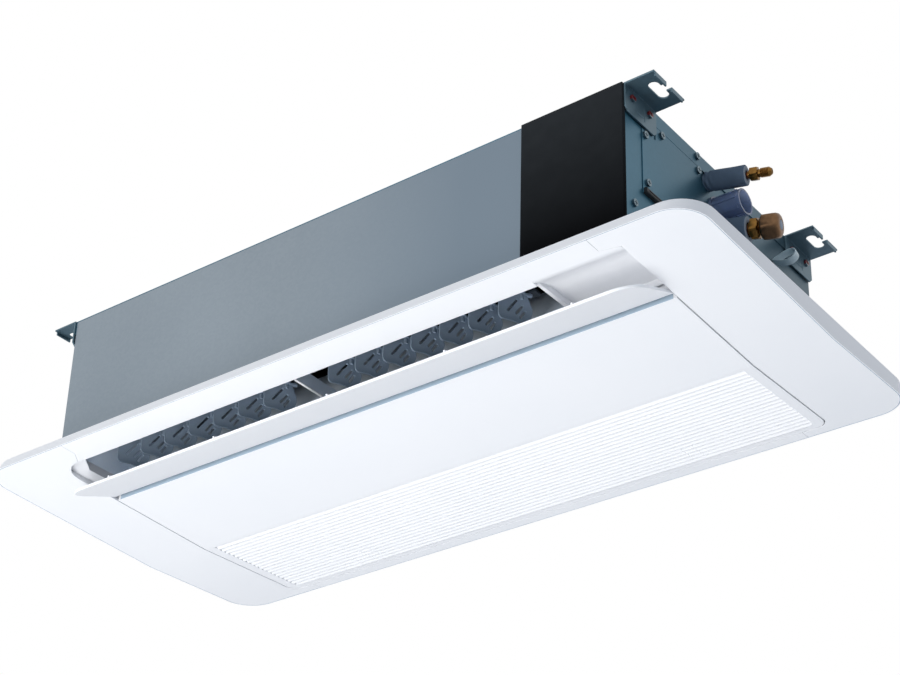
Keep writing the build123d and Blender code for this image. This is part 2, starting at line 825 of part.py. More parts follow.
# ---------- condensate ----------
def drain_pan():
    """Foam-backed pan under the coil, standing on the end plates' folds."""
    x0, x1 = -WALL + sheet, WALL - sheet
    z0, z1 = sheet, sheet + pan_height
    pan = block(x0, x1, pan_front, pan_rear, z0, z1)
    inside = block(x0 + pan_wall, x1 - pan_wall, pan_front + pan_wall, pan_rear - pan_wall,
                   z0 + pan_floor, z1 + 1)
    return pan - inside


def drain_pump():
    """Condensate pump: suction body and motor, standing in the pan."""
    z0 = sheet + pan_floor
    top = z0 + pump_body_height
    body = rod_z(pump_x, pump_y, z0, top, pump_radius)
    motor = rod_z(pump_x, pump_y, top, z0 + pump_height, pump_motor_radius)
    inlet = block(pump_x - 3, pump_x + 3, pump_y - pump_radius - 1, pump_y + pump_radius + 1,
                  z0 - 1, z0 + 5)
    outlet_y = pump_y - pump_outlet
    arm = block(pump_x - 8, pump_x + 8, outlet_y - 8, pump_y, top - 12, top)
    stub = rod_z(pump_x, outlet_y, top, top + 4, hose_radius - 1)
    return body + motor + arm + stub - inlet


def drain_hose():
    """Soft tube from the pump up to the drain socket."""
    outlet_y = pump_y - pump_outlet
    start = (pump_x, outlet_y, sheet + pan_floor + pump_body_height + 4)
    turn_low = (pump_x, outlet_y, drain_z - 8)
    turn_high = (pump_x + hose_bend, drain_y, drain_z)
    end = (WALL + 2, drain_y, drain_z)
    path = FilletPolyline(start, turn_low, turn_high, end, radius=12)
    return sweep(Plane(origin=start, z_dir=(0, 0, 1)) * Circle(hose_radius), path=path)


def drain_socket():
    """Translucent socket for the drain pipe, ribbed along its length."""
    x0, x1 = WALL, WALL + drain_length
    outer = rod_x(x0, x1, drain_y, drain_z, drain_bore_radius + drain_wall)
    flange = rod_x(x0, x0 + 2.5, drain_y, drain_z, drain_bore_radius + drain_wall + 2.5)
    bore = rod_x(x0 + 4, x1 + 1, drain_y, drain_z, drain_bore_radius)
    way = rod_x(x0 - 1, x0 + 5, drain_y, drain_z, hose_radius)
    body = outer + flange
    for number in range(drain_ribs):
        angle = radians(number * 360.0 / drain_ribs)
        reach = drain_bore_radius + drain_wall
        rib = Pos(0, drain_y + reach * cos(angle), drain_z + reach * sin(angle))
        rib = rib * Rot(number * 360.0 / drain_ribs, 0, 0)
        body = body + rib * Pos((x0 + x1) / 2 - 2, 0, 0) * Box(drain_length - 4, 1.6, 3.4)
    return body - bore - way


def float_switch():
    """Stem and cap that guide the float."""
    z0 = sheet + pan_floor
    top = z0 + float_rest + float_height + float_travel + 2
    foot = rod_z(float_x, float_y, z0, z0 + float_rest - 0.3, float_radius * 0.8)
    stem = rod_z(float_x, float_y, z0, top, float_stem_radius)
    cap = rod_z(float_x, float_y, top, top + 5, float_radius * 0.8)
    return foot + stem + cap


def drain_float():
    """Ring float that rides up the stem when the pan fills."""
    z0 = sheet + pan_floor + float_rest
    ring = rod_z(float_x, float_y, z0, z0 + float_height, float_radius)
    return ring - rod_z(float_x, float_y, z0 - 1, z0 + float_height + 1, float_stem_radius + float_play)


# ---------- outlet duct and guide vanes ----------
def duct_section(inset, z0, z1):
    """Corners (y, z) of the duct between two heights, drawn in by a wall."""
    def front(z):
        return duct_front_low + (duct_front_high - duct_front_low) * z / duct_height + inset

    def rear(z):
        return duct_rear_low + (duct_rear_high - duct_rear_low) * z / duct_height - inset
    return [(front(z0), z0), (front(z1), z1), (rear(z1), z1), (rear(z0), z0)]


def duct_sides(inset, z0, z1):
    """Corners (x, z) of the duct seen from the front, its left wall leaning in."""
    def left(z):
        return duct_left + (fan_left - duct_left) * z / duct_height + inset
    right = duct_right - inset
    return [(left(z0), z0), (right, z0), (right, z1), (left(z1), z1)]


def duct_block(inset, z0, z1):
    """Solid that fills the duct, drawn in by a wall."""
    x0 = min(x for x, z in duct_sides(inset, z0, z1))
    across = along_x(duct_section(inset, z0, z1), x0, duct_right - inset)
    front = Plane.XZ.offset(-YR) * Polygon(*duct_sides(inset, z0, z1), align=None)
    return across & extrude(front, amount=2 * YR, dir=(0, -1, 0))


def outlet_duct():
    """Steel-lined duct from the fan down to the panel's mouth."""
    return duct_block(0, 0, duct_height) - duct_block(duct_wall, -1, duct_height + 1)


def duct_divider():
    """Low sheet across the middle of the duct, reaching down into the mouth."""
    end = divider_x + divider_thickness
    upper = along_x(duct_section(duct_wall, 0, divider_high), divider_x, end)
    return upper + block(divider_x, end, duct_front_low + duct_wall + seam,
                         duct_rear_low - duct_wall - seam, divider_low, 0)


def vane_xs(group):
    """X of the pivots of one group of vanes."""
    middle = group_middle_left if group < 0 else group_middle_right
    first = middle - vane_pitch * (vanes_per_group - 1) / 2
    return [first + number * vane_pitch for number in range(vanes_per_group)]


def vane_rail():
    """Cross bar between the duct's walls that carries the vanes' pivots."""
    z0 = vane_top + rail_rise
    top = z0 + rail_height
    x0 = duct_sides(duct_wall, z0, top)[3][0] + seam
    bar = block(x0, duct_right - duct_wall, vane_pivot_y - rail_depth / 2,
                vane_pivot_y + rail_depth / 2, z0, top)
    for x in vane_xs(-1) + vane_xs(1):
        bar = bar - rod_z(x, vane_pivot_y, z0 - 1, top + 1, vane_pin_radius + vane_pin_play)
    return bar


def vane_motors():
    """Two small geared motors on the rails, each over the vane that leads its group."""
    z0 = vane_top + rail_rise + rail_height
    motors = []
    for group in (-1, 1):
        x = vane_xs(group)[0]
        body = rod_z(x, vane_pivot_y, z0, z0 + vane_motor_height, vane_motor_radius)
        ear = block(x - vane_motor_radius - 5, x + vane_motor_radius + 5, vane_pivot_y - 4,
                    vane_pivot_y + 4, z0, z0 + 2)
        bore = rod_z(x, vane_pivot_y, z0 - 1, z0 + 6, vane_pin_radius + vane_pin_play)
        motors.append(body + ear - bore)
    return motors


def vane_outline():
    """Paddle outline in the vane's own plane: u from the nose to the tail, v upwards."""
    corners = [(-vane_nose, vane_top, 0), (-vane_nose, vane_nose_bottom, vane_corner),
               (-10, vane_nose_bottom, vane_sweep), (-2, vane_bottom, vane_sweep),
               (vane_tail - vane_corner, vane_nose_bottom, 9), (vane_tail, 4, vane_sweep),
               (vane_corner, vane_top, 0)]
    face = make_face(Polyline(*[(u, v) for u, v, radius in corners], close=True))
    for u, v, radius in corners:
        if radius > 0:
            face = fillet(face.vertices().sort_by_distance((u, v, 0))[0], radius)
    return face


def guide_vane(x, leads):
    """One vane: slotted paddle, pivot pin through the rail, crank pin for the link."""
    paddle = extrude(vane_outline(), amount=vane_thickness / 2, both=True)
    for u, v, length in vane_slots:
        slot = SlotOverall(length, vane_slot_width)
        paddle = paddle - Pos(u, v, 0) * Rot(0, 0, vane_slot_lean) * extrude(
            slot, amount=vane_thickness, both=True)
    upright = Plane(origin=(0, 0, 0), x_dir=(0, 1, 0), z_dir=(1, 0, 0)) * paddle
    rail_top = vane_top + rail_rise + rail_height
    pin = rod_z(0, 0, vane_top - 9, rail_top + 4, vane_pin_radius)
    collar = rod_z(0, 0, vane_top - 2, vane_top + rail_rise - 0.3, vane_pin_radius + 1.5)
    crank = rod_z(0, crank_radius, vane_top - 3, vane_top + link_rise + link_thickness + 0.8,
                  crank_pin_radius)
    boss = block(-2, 2, -3, crank_radius + 2.4, vane_top - 3, vane_top)
    vane = upright + pin + collar + crank + boss
    if not leads:
        vane = vane + rod_z(0, 0, rail_top + 0.3, rail_top + 3, vane_pin_radius + 1)
    return Pos(x, vane_pivot_y, 0) * Rot(0, 0, vane_turn) * vane


def link_bar(group):
    """Flat bar that joins the crank pins of one group through cross slots."""
    turn = radians(vane_turn)
    xs = [x - crank_radius * sin(turn) for x in vane_xs(group)]
    y = vane_pivot_y + crank_radius * cos(turn)
    z0 = vane_top + link_rise
    swing = crank_radius * (1 - cos(turn))
    y_middle = y + swing / 2 + link_shift
    bar = block(xs[0] - 9, xs[-1] + 9, y_middle - link_width / 2, y_middle + link_width / 2,
                z0, z0 + link_thickness)
    half = crank_pin_radius + crank_pin_play
    for x in xs:
        slot = block(x - half, x + half, y - half - link_slot_spare, y + half + swing + link_slot_spare,
                     z0 - 1, z0 + link_thickness + 1)
        bar = bar - slot
    return bar


# ---------- panel ----------
def under(y):
    """Height of the panel's visible underside at a given Y."""
    if y <= crease_y:
        return -front_lip - (crease_drop - front_lip) * (y - PANEL_F) / (crease_y - PANEL_F)
    return -crease_drop + (crease_drop - rear_lip) * (y - crease_y) / (PANEL_R - crease_y)


def slab(x0, x1, y0, y1, low, high):
    """A layer that follows the underside, from low to high above it."""
    marks = [y0] + [y for y in (crease_y,) if y0 < y < y1] + [y1]
    bottom = [(y, under(y) + low) for y in marks]
    top = [(y, under(y) + high) for y in reversed(marks)]
    return along_x(bottom + top, x0, x1)


def column(x0, x1, y0, y1, low, z1):
    """A block from low above the underside up to a flat height."""
    marks = [y0] + [y for y in (crease_y,) if y0 < y < y1] + [y1]
    return along_x([(y, under(y) + low) for y in marks] + [(y1, z1), (y0, z1)], x0, x1)


def outline(z, inset):
    """Panel outline at a height: the front rim leans back from the lip to the ceiling."""
    lean = rim_draw_in * min(max((z + front_lip) / front_lip, 0), 1)
    depth = panel_depth - lean - 2 * inset
    middle = (PANEL_F + lean + PANEL_R) / 2
    face = RectangleRounded(panel_length - 2 * inset, depth, panel_radius - inset)
    return Plane(origin=(0, middle, z)) * face


def plan(inset):
    """Solid inside the panel's outer wall, drawn in from it."""
    lower = extrude(outline(-front_lip, inset), amount=-2 * crease_drop)
    middle = loft([outline(-front_lip, inset), outline(0, inset)], ruled=True)
    upper = extrude(outline(0, inset), amount=1)
    return lower + middle + upper


def arc(x, y, radius, first, last):
    """Points (x, y) along an arc about a centre, angles in degrees."""
    turns = [radians(first + (last - first) * step / corner_steps) for step in range(corner_steps + 1)]
    return [(x + radius * cos(turn), y + radius * sin(turn)) for turn in turns]


def flap_arc(play):
    """The closed flap's rounded front corner at +X, from its side to its front edge."""
    front = flap_hinge_y - flap_chord
    return arc(opening_half - flap_corner, front + flap_corner, flap_corner + play, 0, -90)


def flap_plan(play):
    """(x, y) outline of the closed flap, grown by its play."""
    rear = flap_hinge_y + flap_tail + play
    half = opening_half + play
    right = [(half, rear)] + flap_arc(play)
    return right + [(-x, y) for x, y in reversed(right)]


def cover_plan(side, shrink):
    """(x, y) outline of a side cover; shrink draws its inner edges outwards by the seam."""
    front_seam = opening_half - (seam_front_right if side > 0 else seam_front_left) + shrink
    rear_seam = opening_half - seam_rear + shrink
    far = PANEL_X + 50
    rear = GRILLE_R + grille_play + shrink
    radius = grille_radius + flap_play + shrink
    half = opening_half + flap_play + shrink
    seam_corner = flap_hinge_y - flap_chord - flap_play - seam_front_run
    points = [(front_seam, PANEL_F - 50), (far, PANEL_F - 50), (far, PANEL_R + 50),
              (rear_seam, PANEL_R + 50), (rear_seam, rear)]
    points = points + arc(half - radius, rear - radius, radius, 90, 0)
    if side > 0:
        points = points + [(half, scoop_front - shrink)]
    else:
        points = points + flap_arc(flap_play + shrink)
    return [(side * x, y) for x, y in points + [(front_seam, seam_corner)]]


def side_cover(side):
    """White end cover of the panel, with three clips beside the frame's rail."""
    skin_layer = slab(-PANEL_X, PANEL_X, PANEL_F, PANEL_R, 0, skin)
    cover = plan(rim_edge + seam) & skin_layer & along_z(cover_plan(side, seam), -50, 0)
    clip_x = RAIL + rail_wall + seam
    for y in side_webs:
        x0, x1 = sorted((side * clip_x, side * (clip_x + 3)))
        cover = cover + column(x0, x1, y + 10, y + 24, skin - 1, -6)
    return cover


def frame_shell():
    """Outer wall and the front and rear bars, before the inner walls are added."""
    full = plan(0) & column(-PANEL_X, PANEL_X, PANEL_F, PANEL_R, 0, 0)
    hollow = plan(rim_wall) & column(-PANEL_X, PANEL_X, PANEL_F, PANEL_R, skin, 1)
    shell = full - hollow
    skin_layer = slab(-PANEL_X, PANEL_X, PANEL_F, PANEL_R, -1, skin)
    seats = plan(rim_edge) & skin_layer
    for side in (-1, 1):
        shell = shell - (seats & along_z(cover_plan(side, 0), -50, 0))
    half = opening_half + flap_play
    opening = block(-half, half, crossbar_rear - 15, GRILLE_R + grille_play, -50, 1)
    return shell - opening - along_z(flap_plan(flap_play), -50, 1)


def scoop_space(x0, x1, rear, grow):
    """Space below the scoop: rounded lip, hollow sweep and flat end, or that space grown by a wall."""
    top = -seat_thickness
    lip_z = under(scoop_front) + scoop_lip
    turn = acos(1 - (top - under(scoop_front)) / (scoop_lip + scoop_sweep))
    lip_end = scoop_front + scoop_lip * sin(turn)
    sweep_end = lip_end + scoop_sweep * sin(turn)
    lip = block(x0, x1, scoop_front, lip_end, -50, lip_z)
    lip = lip - rod_x(x0 - 1, x1 + 1, scoop_front, lip_z, scoop_lip - grow)
    sweep = block(x0, x1, lip_end, sweep_end, -50, top + grow)
    sweep = sweep & rod_x(x0 - 1, x1 + 1, sweep_end, top - scoop_sweep, scoop_sweep + grow)
    return lip + sweep + block(x0, x1, sweep_end, rear, -50, top + grow)


def scoop_hollow():
    """What the scoop takes out of the frame, from beside the mouth to the end cover."""
    return scoop_space(scoop_left(), opening_half + flap_play, duct_rear_low - duct_wall, 0)


def scoop_left():
    """X where the scoop starts, beside the mouth's right wall."""
    return duct_right - duct_wall + 2 * mouth_wall - 0.5


def scoop_shell():
    """Wall above the scoop, with its end beside the mouth and its joint to the rail."""
    left, half, rear = scoop_left(), opening_half + flap_play, duct_rear_low - duct_wall
    wall = scoop_space(left, half, rear, mouth_wall) & column(left, half, scoop_front, rear, 0, 0)
    end = scoop_space(left - mouth_wall, left, rear, mouth_wall)
    end = end & block(left - mouth_wall, left, YF, rear, mouth_low, 0)
    joint = scoop_space(half - 1, RAIL + 1, rear, mouth_wall)
    joint = joint & column(half - 1, RAIL + 1, YF, rear, skin, 0)
    return wall + end + joint


def frame_mouth():
    """Plate above the flap with the duct's mouth, and the scoop beside it."""
    front = YF
    rear = duct_rear_low - duct_wall
    plate = block(-RAIL, RAIL, front, rear + 2, mouth_low, mouth_low + mouth_wall)
    crossbar = block(-RAIL, RAIL, rear, crossbar_rear, crossbar_low, 0)
    x0, x1 = duct_left + duct_wall, duct_right - duct_wall
    y0 = duct_front_low + duct_wall
    ring = block(x0 - mouth_wall, x1 + mouth_wall, y0 - mouth_wall, rear, mouth_low, 0)
    way = block(x0, x1, y0, rear, mouth_low - 1, 1)
    way = way - along_z([(x0, y0), (x0 + mouth_corner[0], y0), (x0, y0 + mouth_corner[1])],
                        mouth_low - 1, mouth_low + mouth_wall)
    return plate + crossbar + ring + scoop_shell() - way


def panel_frame():
    """Ceiling frame: outer wall, front and rear bars, rails, seat for the casing, mouth."""
    frame = frame_shell() + frame_mouth() - scoop_hollow()
    rail_end = RAIL + rail_wall
    rear_wall = GRILLE_R + grille_play
    front_wall = column(-rail_end, rail_end, YF, YF + mouth_wall, skin, 0)
    riser = column(-rail_end, rail_end, rear_wall, rear_wall + mouth_wall, skin, 0)
    seat_rear = block(-rail_end, rail_end, YR - 12, rear_wall + mouth_wall, -seat_thickness, 0)
    frame = frame + front_wall + riser + seat_rear
    for side in (-1, 1):
        rail = sorted((side * RAIL, side * rail_end))
        seat = sorted((side * (RAIL - 17), side * rail_end))
        reach = sorted((side * (rail_end - 1), side * (PANEL_X - rim_wall + 1)))
        frame = frame + column(*rail, YF, rear_wall + mouth_wall, skin, 0)
        frame = frame + block(*seat, crossbar_rear, YR, -seat_thickness, 0)
        for y in side_webs:
            frame = frame + column(*reach, y, y + web, skin, -1)
    for x in bar_webs:
        frame = frame + column(x, x + web, PANEL_F + rim_draw_in + rim_wall - 1, YF + 1, skin, -3)
        frame = frame + column(x, x + web, rear_wall + 1, PANEL_R - rim_wall + 1, skin, -3)
    for y, z in ((flap_hinge_y, flap_hinge_z), grille_hinge()):
        frame = frame - rod_x(-rail_end - 1, rail_end + 1, y, z, flap_pin_radius + pin_play)
    for x in (-latch_x, latch_x):
        half = latch_width / 2 + latch_play
        low = louvre_rise + rib_proud - latch_play
        frame = frame - slab(x - half, x + half, rear_wall - 1, rear_wall + mouth_wall + 1,
                             low, low + latch_thickness + 2 * latch_play)
    return panel_screw_holes(frame)


# ---------- flap ----------
def flap():
    """Outlet flap, hanging open on its pins."""
    edge = along_z(flap_plan(0), -50, 0)
    rear = flap_hinge_y + flap_tail
    half = opening_half
    body = slab(-half, half, flap_hinge_y - flap_chord, rear, 0, flap_thickness) & edge
    low = under(flap_hinge_y) + 1
    body = body + rod_x(-half, half, flap_hinge_y, flap_hinge_z, flap_tube_radius)
    body = body + block(-half, half, flap_hinge_y - 1.5, flap_hinge_y + 1.5, low, flap_hinge_z)
    for x in flap_ribs:
        corner = (flap_hinge_y - flap_gusset, under(flap_hinge_y - flap_gusset) + 2)
        body = body + along_x([(flap_hinge_y, flap_hinge_z + 3), corner, (flap_hinge_y, low)],
                              x - 1.5, x + 1.5)
    tip = RAIL + rail_wall
    body = body + rod_x(-tip + 0.5, -half + 1, flap_hinge_y, flap_hinge_z, flap_pin_radius)
    body = body + rod_x(half - 1, tip + pin_reach, flap_hinge_y, flap_hinge_z, flap_pin_radius)
    here = Pos(0, flap_hinge_y, flap_hinge_z)
    return here * Rot(flap_open, 0, 0) * here.inverse() * body


def flap_motor():
    """Small geared motor outside the right-hand rail, on the flap's pin."""
    x0 = RAIL + rail_wall
    centre_z = flap_hinge_z + flap_motor_offset
    body = rod_x(x0, x0 + flap_motor_length, flap_hinge_y, centre_z, flap_motor_radius)
    body = body + block(x0, x0 + 2, flap_hinge_y - 13, flap_hinge_y + 13, centre_z - 3, centre_z + 3)
    return body - rod_x(x0 - 1, x0 + pin_reach + 1, flap_hinge_y, flap_hinge_z,
                        flap_pin_radius + pin_play)


# ---------- intake grille ----------
def grille_hinge():
    """(y, z) of the grille's hinge pins."""
    return grille_hinge_y, under(grille_hinge_y) + grille_hinge_rise


def louvre_ys():
    """Y of the lower front edge of every slat."""
    first = crease_y + louvre_front_margin + louvre_rise
    last = GRILLE_R - louvre_rear_margin - louvre_thickness - 1
    return [first + (last - first) * number / (louvre_count - 1) for number in range(louvre_count)]


def slat(x0, x1, y):
    """One slat, leaning forwards as it rises."""
    z = under(y)
    lean = louvre_rise + 1
    return along_x([(y, z), (y + louvre_thickness, z), (y + louvre_thickness - lean, z + louvre_rise),
                    (y - lean, z + louvre_rise)], x0, x1)


def intake_grille():
    """Hinged grille: plain front half, louvred rear half, notches for the latches."""
    y_open = crease_y + louvre_front_margin
    y_close = GRILLE_R - louvre_rear_margin
    full = slab(-opening_half, opening_half, grille_front, GRILLE_R, 0, grille_rim)
    inner = opening_half - rim_wall
    hollow = slab(-inner, inner, grille_front + rim_wall, GRILLE_R - rim_wall, skin, 3 * grille_rim)
    reach = inner - louvre_margin
    window = slab(-reach, reach, y_open, y_close, -1, 3 * grille_rim)
    window = window & round_block(-reach, reach, y_open - 2 * louvre_radius, y_close, -50, 5,
                                  louvre_radius)
    parts = []
    for number, y in enumerate(louvre_ys()):
        bar = slat(-reach - 1, reach + 1, y)
        if number in latch_slats:
            for x in (-latch_x, latch_x):
                half = latch_width / 2 + latch_play
                bar = bar - block(x - half, x + half, y - 2 * louvre_rise, y + louvre_rise, -50, 0)
        parts.append(bar)
    for number in range(louvre_ribs):
        x = -reach + 2 * reach * (number + 1) / (louvre_ribs + 1)
        parts.append(slab(x - rib_thickness / 2, x + rib_thickness / 2, y_open - 1, y_close + 1,
                          rib_low, louvre_rise + rib_proud))
    grille = full - hollow - window + parts
    for x in (-latch_x, latch_x):
        half = latch_width / 2 + latch_play
        grille = grille - slab(x - half, x + half, y_close, GRILLE_R + 1,
                               louvre_rise + rib_proud - latch_play, 2 * grille_rim)
    y, z = grille_hinge()
    for side in (-1, 1):
        cheek = sorted((side * inner, side * opening_half))
        pin = sorted((side * inner, side * (RAIL + rail_wall - 0.5)))
        grille = grille + block(*cheek, y - 5, y + 5, z - 5, z + 3.2)
        grille = grille + rod_x(*pin, y, z, flap_pin_radius)
    corners = round_block(-opening_half - 10, opening_half + 10, grille_front - 60, GRILLE_R, -50, 5,
                          grille_radius)
    rounded = round_block(-opening_half, opening_half, grille_front - 60, GRILLE_R, -50, 5,
                          grille_radius)
    front = block(-opening_half - 10, opening_half + 10, grille_front - 60, 0, -50, 5)
    return grille & corners & (rounded + front)


def latch(x):
    """Sliding latch: four slats under a carrier whose tongue enters the frame's rear wall."""
    half = latch_width / 2
    ys = [louvre_ys()[number] for number in latch_slats]
    low = louvre_rise + rib_proud
    lean = louvre_rise + 1
    front = ys[0] - lean
    tongue = slab(x - half, x + half, front, GRILLE_R + grille_play + latch_bite, low,
                  low + latch_thickness)
    bars = [slat(x - half, x + half, y) for y in ys]
    feet = [slab(x - half, x + half, y - lean, y - lean + louvre_thickness, louvre_rise - 0.5, low + 0.5)
            for y in ys]
    return tongue + bars + feet


def air_filters():
    """Two frames with a coarse lattice that carries the filter net, notched round the latches."""
    y0, y1 = crease_y + 10, GRILLE_R - filter_margin
    low = louvre_rise + rib_proud
    reach = opening_half - rim_wall - 8
    notch_y = louvre_ys()[latch_slats[0]] - louvre_rise - 1 - latch_stroke - filter_gap
    filters = []
    for side in (-1, 1):
        x0, x1 = sorted((side * 4, side * reach))
        frame = slab(x0, x1, y0, y1, low, low + filter_thickness)
        columns, rows = 8, 3
        step_x = (x1 - x0 - filter_bar) / columns
        step_y = (y1 - y0 - filter_bar) / rows
        for column_number in range(columns):
            for row in range(rows):
                hole_x = x0 + filter_bar + column_number * step_x
                hole_y = y0 + filter_bar + row * step_y
                frame = frame - block(hole_x, hole_x + step_x - filter_bar / 2, hole_y,
                                      hole_y + step_y - filter_bar / 2, -50, 10)
        half = latch_width / 2 + filter_gap
        x = side * latch_x
        frame = frame + slab(x - half - filter_bar, x + half + filter_bar, notch_y - filter_bar, y1,
                             low, low + filter_thickness)
        filters.append(frame - block(x - half, x + half, notch_y, y1 + 1, -50, 10))
    return Compound(filters)


# ---------- panel screws ----------
def panel_screw_places():
    """(x, y) of the screws that hold the panel to the casing's feet."""
    x = WALL - panel_screw_inset
    return [(side * x, y) for y in (panel_screw_front, YR - panel_screw_rear) for side in (-1, 1)]


def panel_screws():
    """Screws driven up through the panel's seat into the end plates' feet."""
    screws = []
    for x, y in panel_screw_places():
        head = rod_z(x, y, -seat_thickness - screw_head_height, -seat_thickness, screw_head_radius)
        shank = rod_z(x, y, -seat_thickness, -seat_thickness + screw_shank_length, screw_shank_radius)
        arm = 1.3 * screw_head_radius
        middle = Pos(x, y, -seat_thickness - screw_head_height)
        cross = middle * Box(arm, cross_width, 2 * cross_depth)
        cross = cross + middle * Box(cross_width, arm, 2 * cross_depth)
        screws.append(head + shank - cross)
    return screws


def panel_screw_holes(solid):
    """Clearance holes for the panel screws."""
    for x, y in panel_screw_places():
        solid = solid - rod_z(x, y, -20, 20, screw_shank_radius + screw_play)
    return solid


# ---------- nodes ----------
def hanger_brackets():
    """The four hangers."""
    return Compound([hanger(side, middle) for side in (-1, 1) for middle in hanger_ys()])


def casing_screws():
    """All screws on the two end faces, and those that hold the panel."""
    return Compound([screw(*row) for row in end_screws()] + panel_screws())


def refrigerant_pipes():
    """The two copper pipes from the coil through the end plate."""
    return Compound([liquid_pipe(), gas_pipe()])


def pump_with_switch():
    """Condensate pump and the stem of its level switch."""
    return Compound([drain_pump(), float_switch()])


def louvre_motors():
    """The geared motors of the vanes and of the flap."""
    return Compound(vane_motors() + [flap_motor()])


def nodes():
    """Every node with the solid it holds."""
    made = {
        "top_cover": top_cover(),
        "front_plate": front_plate(),
        "rear_plate": rear_plate(),
        "left_end_plate": panel_screw_holes(end_plate(-1)),
        "right_end_plate": panel_screw_holes(end_plate(1)),
        "front_foam": front_foam(),
        "partition": partition(),
        "hanger_brackets": hanger_brackets(),
        "casing_screws": casing_screws(),
        "control_box": control_box(),
        "control_cover": control_cover(),
        "control_board": control_board(),
        "cable_grommet": cable_grommet(),
        "cable_loop": cable_loop(),
        "exchanger_fins": exchanger_fins(),
        "exchanger_tubes": exchanger_tubes(),
        "tube_plates": tube_plates(),
        "liquid_insulation": liquid_insulation(),
        "liquid_union": liquid_union(),
        "refrigerant_pipes": refrigerant_pipes(),
        "gas_insulation": gas_insulation(),
        "gas_union": gas_union(),
        "gas_nut": gas_nut(),
        "gas_plug": gas_plug(),
        "drain_pan": drain_pan(),
        "drain_pump": pump_with_switch(),
        "drain_hose": drain_hose(),
        "drain_float": drain_float(),
        "drain_socket": drain_socket(),
        "fan_rotor": fan_rotor() + fan_shaft(),
        "fan_bearing": fan_bearing(),
        "fan_motor": fan_motor(),
        "fan_scroll": fan_scroll(),
        "outlet_duct": outlet_duct() + duct_divider(),
        "vane_rail": vane_rail(),
        "louvre_motors": louvre_motors(),
        "link_left": link_bar(-1),
        "link_right": link_bar(1),
        "panel_frame": panel_frame(),
        "left_cover": side_cover(-1),
        "right_cover": side_cover(1),
        "intake_grille": intake_grille(),
        "latch_left": latch(-latch_x),
        "latch_right": latch(latch_x),
        "air_filters": air_filters(),
        "flap": flap(),
    }
    for name, group in (("left", -1), ("right", 1)):
        for number, x in enumerate(vane_xs(group)):
            made["vane_%s_%d" % (name, number + 1)] = guide_vane(x, number == 0)
    return made


os.makedirs("parts", exist_ok=True)
for node_name, solid in nodes().items():
    export_step(solid, os.path.join("parts", node_name + ".step"))
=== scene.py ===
# One-way ceiling cassette air conditioner, seen from below, in front and to the right.
# Sizes are in metres, in the frame's axes: +Z up, +X towards the pipe end, -Y towards the outlet.
import json
from math import cos, radians, sin, tau

import bmesh
import bpy
import numpy as np
from mathutils import Matrix, Vector

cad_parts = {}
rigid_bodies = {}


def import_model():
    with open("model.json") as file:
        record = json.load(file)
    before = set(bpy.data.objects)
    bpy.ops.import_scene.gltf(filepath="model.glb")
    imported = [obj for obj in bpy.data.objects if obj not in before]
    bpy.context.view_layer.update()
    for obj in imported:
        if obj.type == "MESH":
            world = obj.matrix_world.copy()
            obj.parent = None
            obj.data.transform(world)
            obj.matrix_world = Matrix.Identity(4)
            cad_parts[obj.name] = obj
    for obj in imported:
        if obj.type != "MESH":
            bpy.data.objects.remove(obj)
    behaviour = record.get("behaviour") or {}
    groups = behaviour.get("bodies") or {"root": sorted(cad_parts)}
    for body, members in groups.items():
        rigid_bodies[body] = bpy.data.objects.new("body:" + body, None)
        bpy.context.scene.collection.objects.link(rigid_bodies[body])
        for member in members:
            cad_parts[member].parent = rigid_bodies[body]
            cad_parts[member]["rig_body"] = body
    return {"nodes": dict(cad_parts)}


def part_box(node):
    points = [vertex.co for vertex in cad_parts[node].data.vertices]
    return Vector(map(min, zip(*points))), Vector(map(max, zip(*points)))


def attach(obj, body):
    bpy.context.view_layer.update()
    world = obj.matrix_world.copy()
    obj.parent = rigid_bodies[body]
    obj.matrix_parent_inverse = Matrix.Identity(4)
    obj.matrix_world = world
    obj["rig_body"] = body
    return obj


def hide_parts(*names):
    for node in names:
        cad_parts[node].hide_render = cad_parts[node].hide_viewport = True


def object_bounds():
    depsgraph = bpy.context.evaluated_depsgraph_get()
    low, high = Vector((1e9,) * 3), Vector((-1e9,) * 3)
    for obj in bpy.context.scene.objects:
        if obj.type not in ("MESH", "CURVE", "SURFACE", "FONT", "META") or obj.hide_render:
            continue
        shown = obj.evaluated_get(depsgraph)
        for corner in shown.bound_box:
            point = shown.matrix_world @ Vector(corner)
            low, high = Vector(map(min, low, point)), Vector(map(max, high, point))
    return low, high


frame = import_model()
nodes = frame["nodes"]
cad_low, cad_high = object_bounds()

# --- Casing sheets ---
# The casing is folded from hot-dip galvanised steel: a long front plate and a rear plate with
# folded edges.  The sheet is satin, with faint zinc flowers and a slow drift of tone.  Its colour
# is painted a little darker towards the pipe end, as painted shade for the duller light there.
mm = 0.001


def linear(hex_colour):
    """sRGB hex colour as linear red, green, blue and alpha."""
    channels = [int(hex_colour[i:i + 2], 16) / 255 for i in (1, 3, 5)]
    light = [c / 12.92 if c <= 0.04045 else ((c + 0.055) / 1.055) ** 2.4 for c in channels]
    return tuple(light) + (1.0,)


def add_node(tree, kind, inputs=None, **settings):
    """Adds one shader node with its settings; each input takes a value or another node's socket."""
    node = tree.nodes.new(kind)
    for name, value in settings.items():
        setattr(node, name, value)
    for key, value in (inputs or {}).items():
        if isinstance(value, bpy.types.NodeSocket):
            tree.links.new(value, node.inputs[key])
        else:
            node.inputs[key].default_value = value
    return node


def start_material(name):
    """An empty node material, its node tree and the object coordinates."""
    material = bpy.data.materials.new(name)
    material.use_nodes = True
    tree = material.node_tree
    tree.nodes.clear()
    return material, tree, add_node(tree, "ShaderNodeTexCoord").outputs["Object"]


